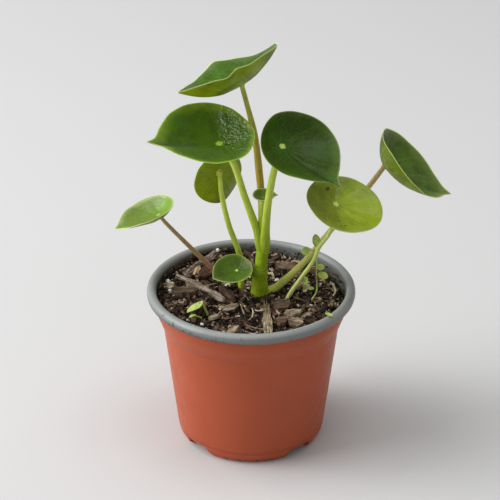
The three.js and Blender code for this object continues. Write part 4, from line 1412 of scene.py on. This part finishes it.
class HOUSEPLANT_OT_stems(bpy.types.Operator):
    """The ringed main stem and the nine stalks that carry the blades"""

    bl_idname = "houseplant.stems"
    bl_label = "Stems"

    def execute(self, context):
        options = context.scene.houseplant_stems
        green, pale, tan = tuple(options.green), tuple(options.pale), tuple(options.tan)
        middle = tuple((a + b) / 2 for a, b in zip(green, pale))
        kinds = {
            "stem_green": (paint(182, 204, 34), tinted(green, 0.9), tinted(green, 1.15)),
            "stalk_green": (green, middle, pale),
            "stalk_reddish": (paint(176, 186, 44), paint(180, 158, 44), paint(206, 214, 96), 0.4),
            "stalk_blush": (paint(206, 216, 76), paint(218, 214, 132), paint(186, 160, 100), 0.25),
            "stalk_pale": (paint(222, 230, 160), paint(206, 216, 120), paint(190, 200, 100)),
            "stalk_tan": (paint(150, 118, 84), tan, paint(190, 166, 106), 0.2),
        }
        skins = {kind: stalk_skin(kind, *colours) for kind, colours in kinds.items()}
        bm = new_shape()
        verts = add_bar(bm, MAIN_STEM["points"], MAIN_STEM["radii"], sides=40, steps=10)
        x, y, scar = STEM_SCAR
        for vert in verts:
            spot = vert.co / MM
            away = spot - Vector((x, y, spot.z))
            side = math.atan2(away.y, away.x)
            height = spot.z - scar - 0.5 * math.cos(side - 2.6)
            ring = 0.5 * math.exp(-((height / 0.45) ** 2)) - 0.35 * math.exp(-(((height - 0.9) / 0.4) ** 2))
            bulge = 1.1 * math.exp(-((height + 2.2) / 2.2) ** 2) * max(math.cos(side - 3.4), 0) ** 2
            dents = 0.18 * noise.noise(spot * 0.35)
            vert.co += away.normalized() * (ring + bulge + dents) * MM
        set_down("main_stem_bar", bm, [skins["stem_green"]], "stem", "main_stem")
        for name, stalk in STALKS.items():
            bm = new_shape()
            leaf = LEAVES[name]
            normal = (blade_frame(leaf).to_3x3() @ Vector((0, 0, 1))).normalized()
            add_bar(bm, stalk["points"], stalk["radii"], 20, 9, head=normal, knurl=0.05, seed=len(name))
            skin = skins["stalk_" + stalk["finish"]]
            set_down(f"stalk_{name}_bar", bm, [skin], "stalk", f"stalk_{name}")
        return {"FINISHED"}


class HOUSEPLANT_OT_weeds(bpy.types.Operator):
    """The small plants that came up in the pot, and the scrap of one on the rim"""

    bl_idname = "houseplant.weeds"
    bl_label = "Weeds"

    def execute(self, context):
        skin = weed_skin(tuple(context.scene.houseplant_loose.weed))
        for name, plant in WEEDS.items():
            bm = new_shape()
            for points, radii in plant["stems"]:
                add_bar(bm, points, radii, sides=8, steps=5)
            for blade in plant["blades"]:
                shaped = dict(SPROUT_BLADE, **blade, folds=((80, 30, 0.3), (-60, 30, -0.25)))
                add_blade(bm, shaped, 0.45, 28, 7)
            set_down(f"{name}_plant", bm, [skin], "weed", name)
        bm = new_shape()
        scrap = dict(SPROUT_BLADE, at=(43.6, -36.6, 96.1), facing=-40, lean=4, turn=0, length=5.2, width=2.8)
        add_blade(bm, dict(scrap, share=0.5, cup=0.5, droop=0.4), 0.5, 24, 6)
        set_down("rim_scrap_leaf", bm, [skin], "weed", "rim_scrap")
        return {"FINISHED"}


class HOUSEPLANT_OT_bark(bpy.types.Operator):
    """The larger bark pieces that lie on the soil"""

    bl_idname = "houseplant.bark"
    bl_label = "Bark"

    def execute(self, context):
        options = context.scene.houseplant_soil
        dark, bark, split = tuple(options.dark), tuple(options.bark), tuple(options.split)
        skin = woody("bark_wood", dark, tinted(bark, 1.1), split, paint(150, 84, 70))
        for i, (name, spec) in enumerate(BARK.items()):
            bm = new_shape()
            length, width, thickness = spec["size"]
            x, y = spec["at"]
            place = lying(x, y, spec["turn"], spec["tilt"], 0, 0.4 * thickness + 0.5)
            cuts = (max(int(length * 1.6), 8), max(int(width * 1.5), 5))
            add_slab(bm, spec["size"], place, (spec["tone"], spec["red"], i * 0.7), cuts, 0.34, i * 2.9 + 1,
                     3.4, 0.03, spec.get("outline"))
            set_down(f"{name}_piece", bm, [skin], "bark", name, angle=38)
        return {"FINISHED"}


class HOUSEPLANT_OT_twigs(bpy.types.Operator):
    """Weathered twigs and the curled root fibres"""

    bl_idname = "houseplant.twigs"
    bl_label = "Twigs and fibres"

    def execute(self, context):
        twig = tuple(context.scene.houseplant_loose.twig)
        split = tuple(context.scene.houseplant_soil.split)
        dark = tuple(context.scene.houseplant_soil.dark)
        skin = woody("twig_wood", dark, twig, tinted(twig, 2.1), paint(140, 84, 80))
        for i, (name, spec) in enumerate(TWIGS.items()):
            bm = new_shape()
            verts = add_bar(bm, spec["points"], spec["radii"], sides=40, steps=30, knurl=0.5, seed=3.0 * i)
            for vert in verts:
                vert[tone_layer(bm)] = (0.6 - 0.12 * i, 0.12, i)
            set_down(f"{name}_wood", bm, [skin], "twig", name, angle=60)
        bm = new_shape()
        for points, radii in FIBRES:
            for vert in add_bar(bm, points, radii, sides=10, steps=8, knurl=0.2):
                vert[tone_layer(bm)] = (0.8, 0.3, 0.0)
        skin = woody("root_fibre_skin", dark, twig, split, paint(150, 100, 80))
        set_down("root_fibre_threads", bm, [skin], "twig", "root_fibre")
        return {"FINISHED"}


class HOUSEPLANT_OT_grains(bpy.types.Operator):
    """White grains of perlite"""

    bl_idname = "houseplant.grains"
    bl_label = "Perlite"

    def execute(self, context):
        skin = white_grain(tuple(context.scene.houseplant_loose.grain))
        for i, (name, ((x, y), radius)) in enumerate(GRAINS.items()):
            bm = new_shape()
            place = lying(x, y, 40 * i, lift=0.35 * radius)
            add_lump(bm, radius, place, (1, 0, i), 4, 0.32, i * 1.9, (1.15, 0.95, 0.85))
            set_down(f"{name}_grain", bm, [skin], "perlite", name)
        bm = new_shape()
        for i, (x, y, radius) in enumerate(GRIT):
            add_lump(bm, radius, lying(x, y, 70 * i, lift=0.7), (1, 0, i), 2, 0.5, i * 1.3, (1.25, 0.9, 0.8))
        set_down("perlite_grit", bm, [skin], "perlite")
        return {"FINISHED"}


STEPS = (HOUSEPLANT_OT_stage, HOUSEPLANT_OT_pot, HOUSEPLANT_OT_soil, HOUSEPLANT_OT_leaves,
         HOUSEPLANT_OT_stems, HOUSEPLANT_OT_weeds, HOUSEPLANT_OT_bark, HOUSEPLANT_OT_twigs,
         HOUSEPLANT_OT_grains)


class HOUSEPLANT_PT_builder(bpy.types.Panel):
    """Sizes, colours and the steps that build the plant"""

    bl_idname = "HOUSEPLANT_PT_builder"
    bl_label = "Potted houseplant"
    bl_space_type = "VIEW_3D"
    bl_region_type = "UI"
    bl_category = "Houseplant"

    def draw(self, context):
        for name in OPTIONS:
            box = self.layout.box()
            for option in getattr(context.scene, name).bl_rna.properties:
                if option.identifier not in {"rna_type", "name"}:
                    box.prop(getattr(context.scene, name), option.identifier)
        for step in STEPS:
            self.layout.operator(step.bl_idname)


def register():
    for kind in (*OPTIONS.values(), *STEPS, HOUSEPLANT_PT_builder):
        bpy.utils.register_class(kind)
    for name, kind in OPTIONS.items():
        setattr(bpy.types.Scene, name, PointerProperty(type=kind))


def unregister():
    for name in OPTIONS:
        delattr(bpy.types.Scene, name)
    for kind in (HOUSEPLANT_PT_builder, *reversed(STEPS), *reversed(OPTIONS.values())):
        bpy.utils.unregister_class(kind)


def main():
    """Builds every piece in order."""
    register()
    for step in STEPS:
        getattr(bpy.ops.houseplant, step.bl_idname.split(".")[1])()
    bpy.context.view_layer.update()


if __name__ == "__main__":
    main()
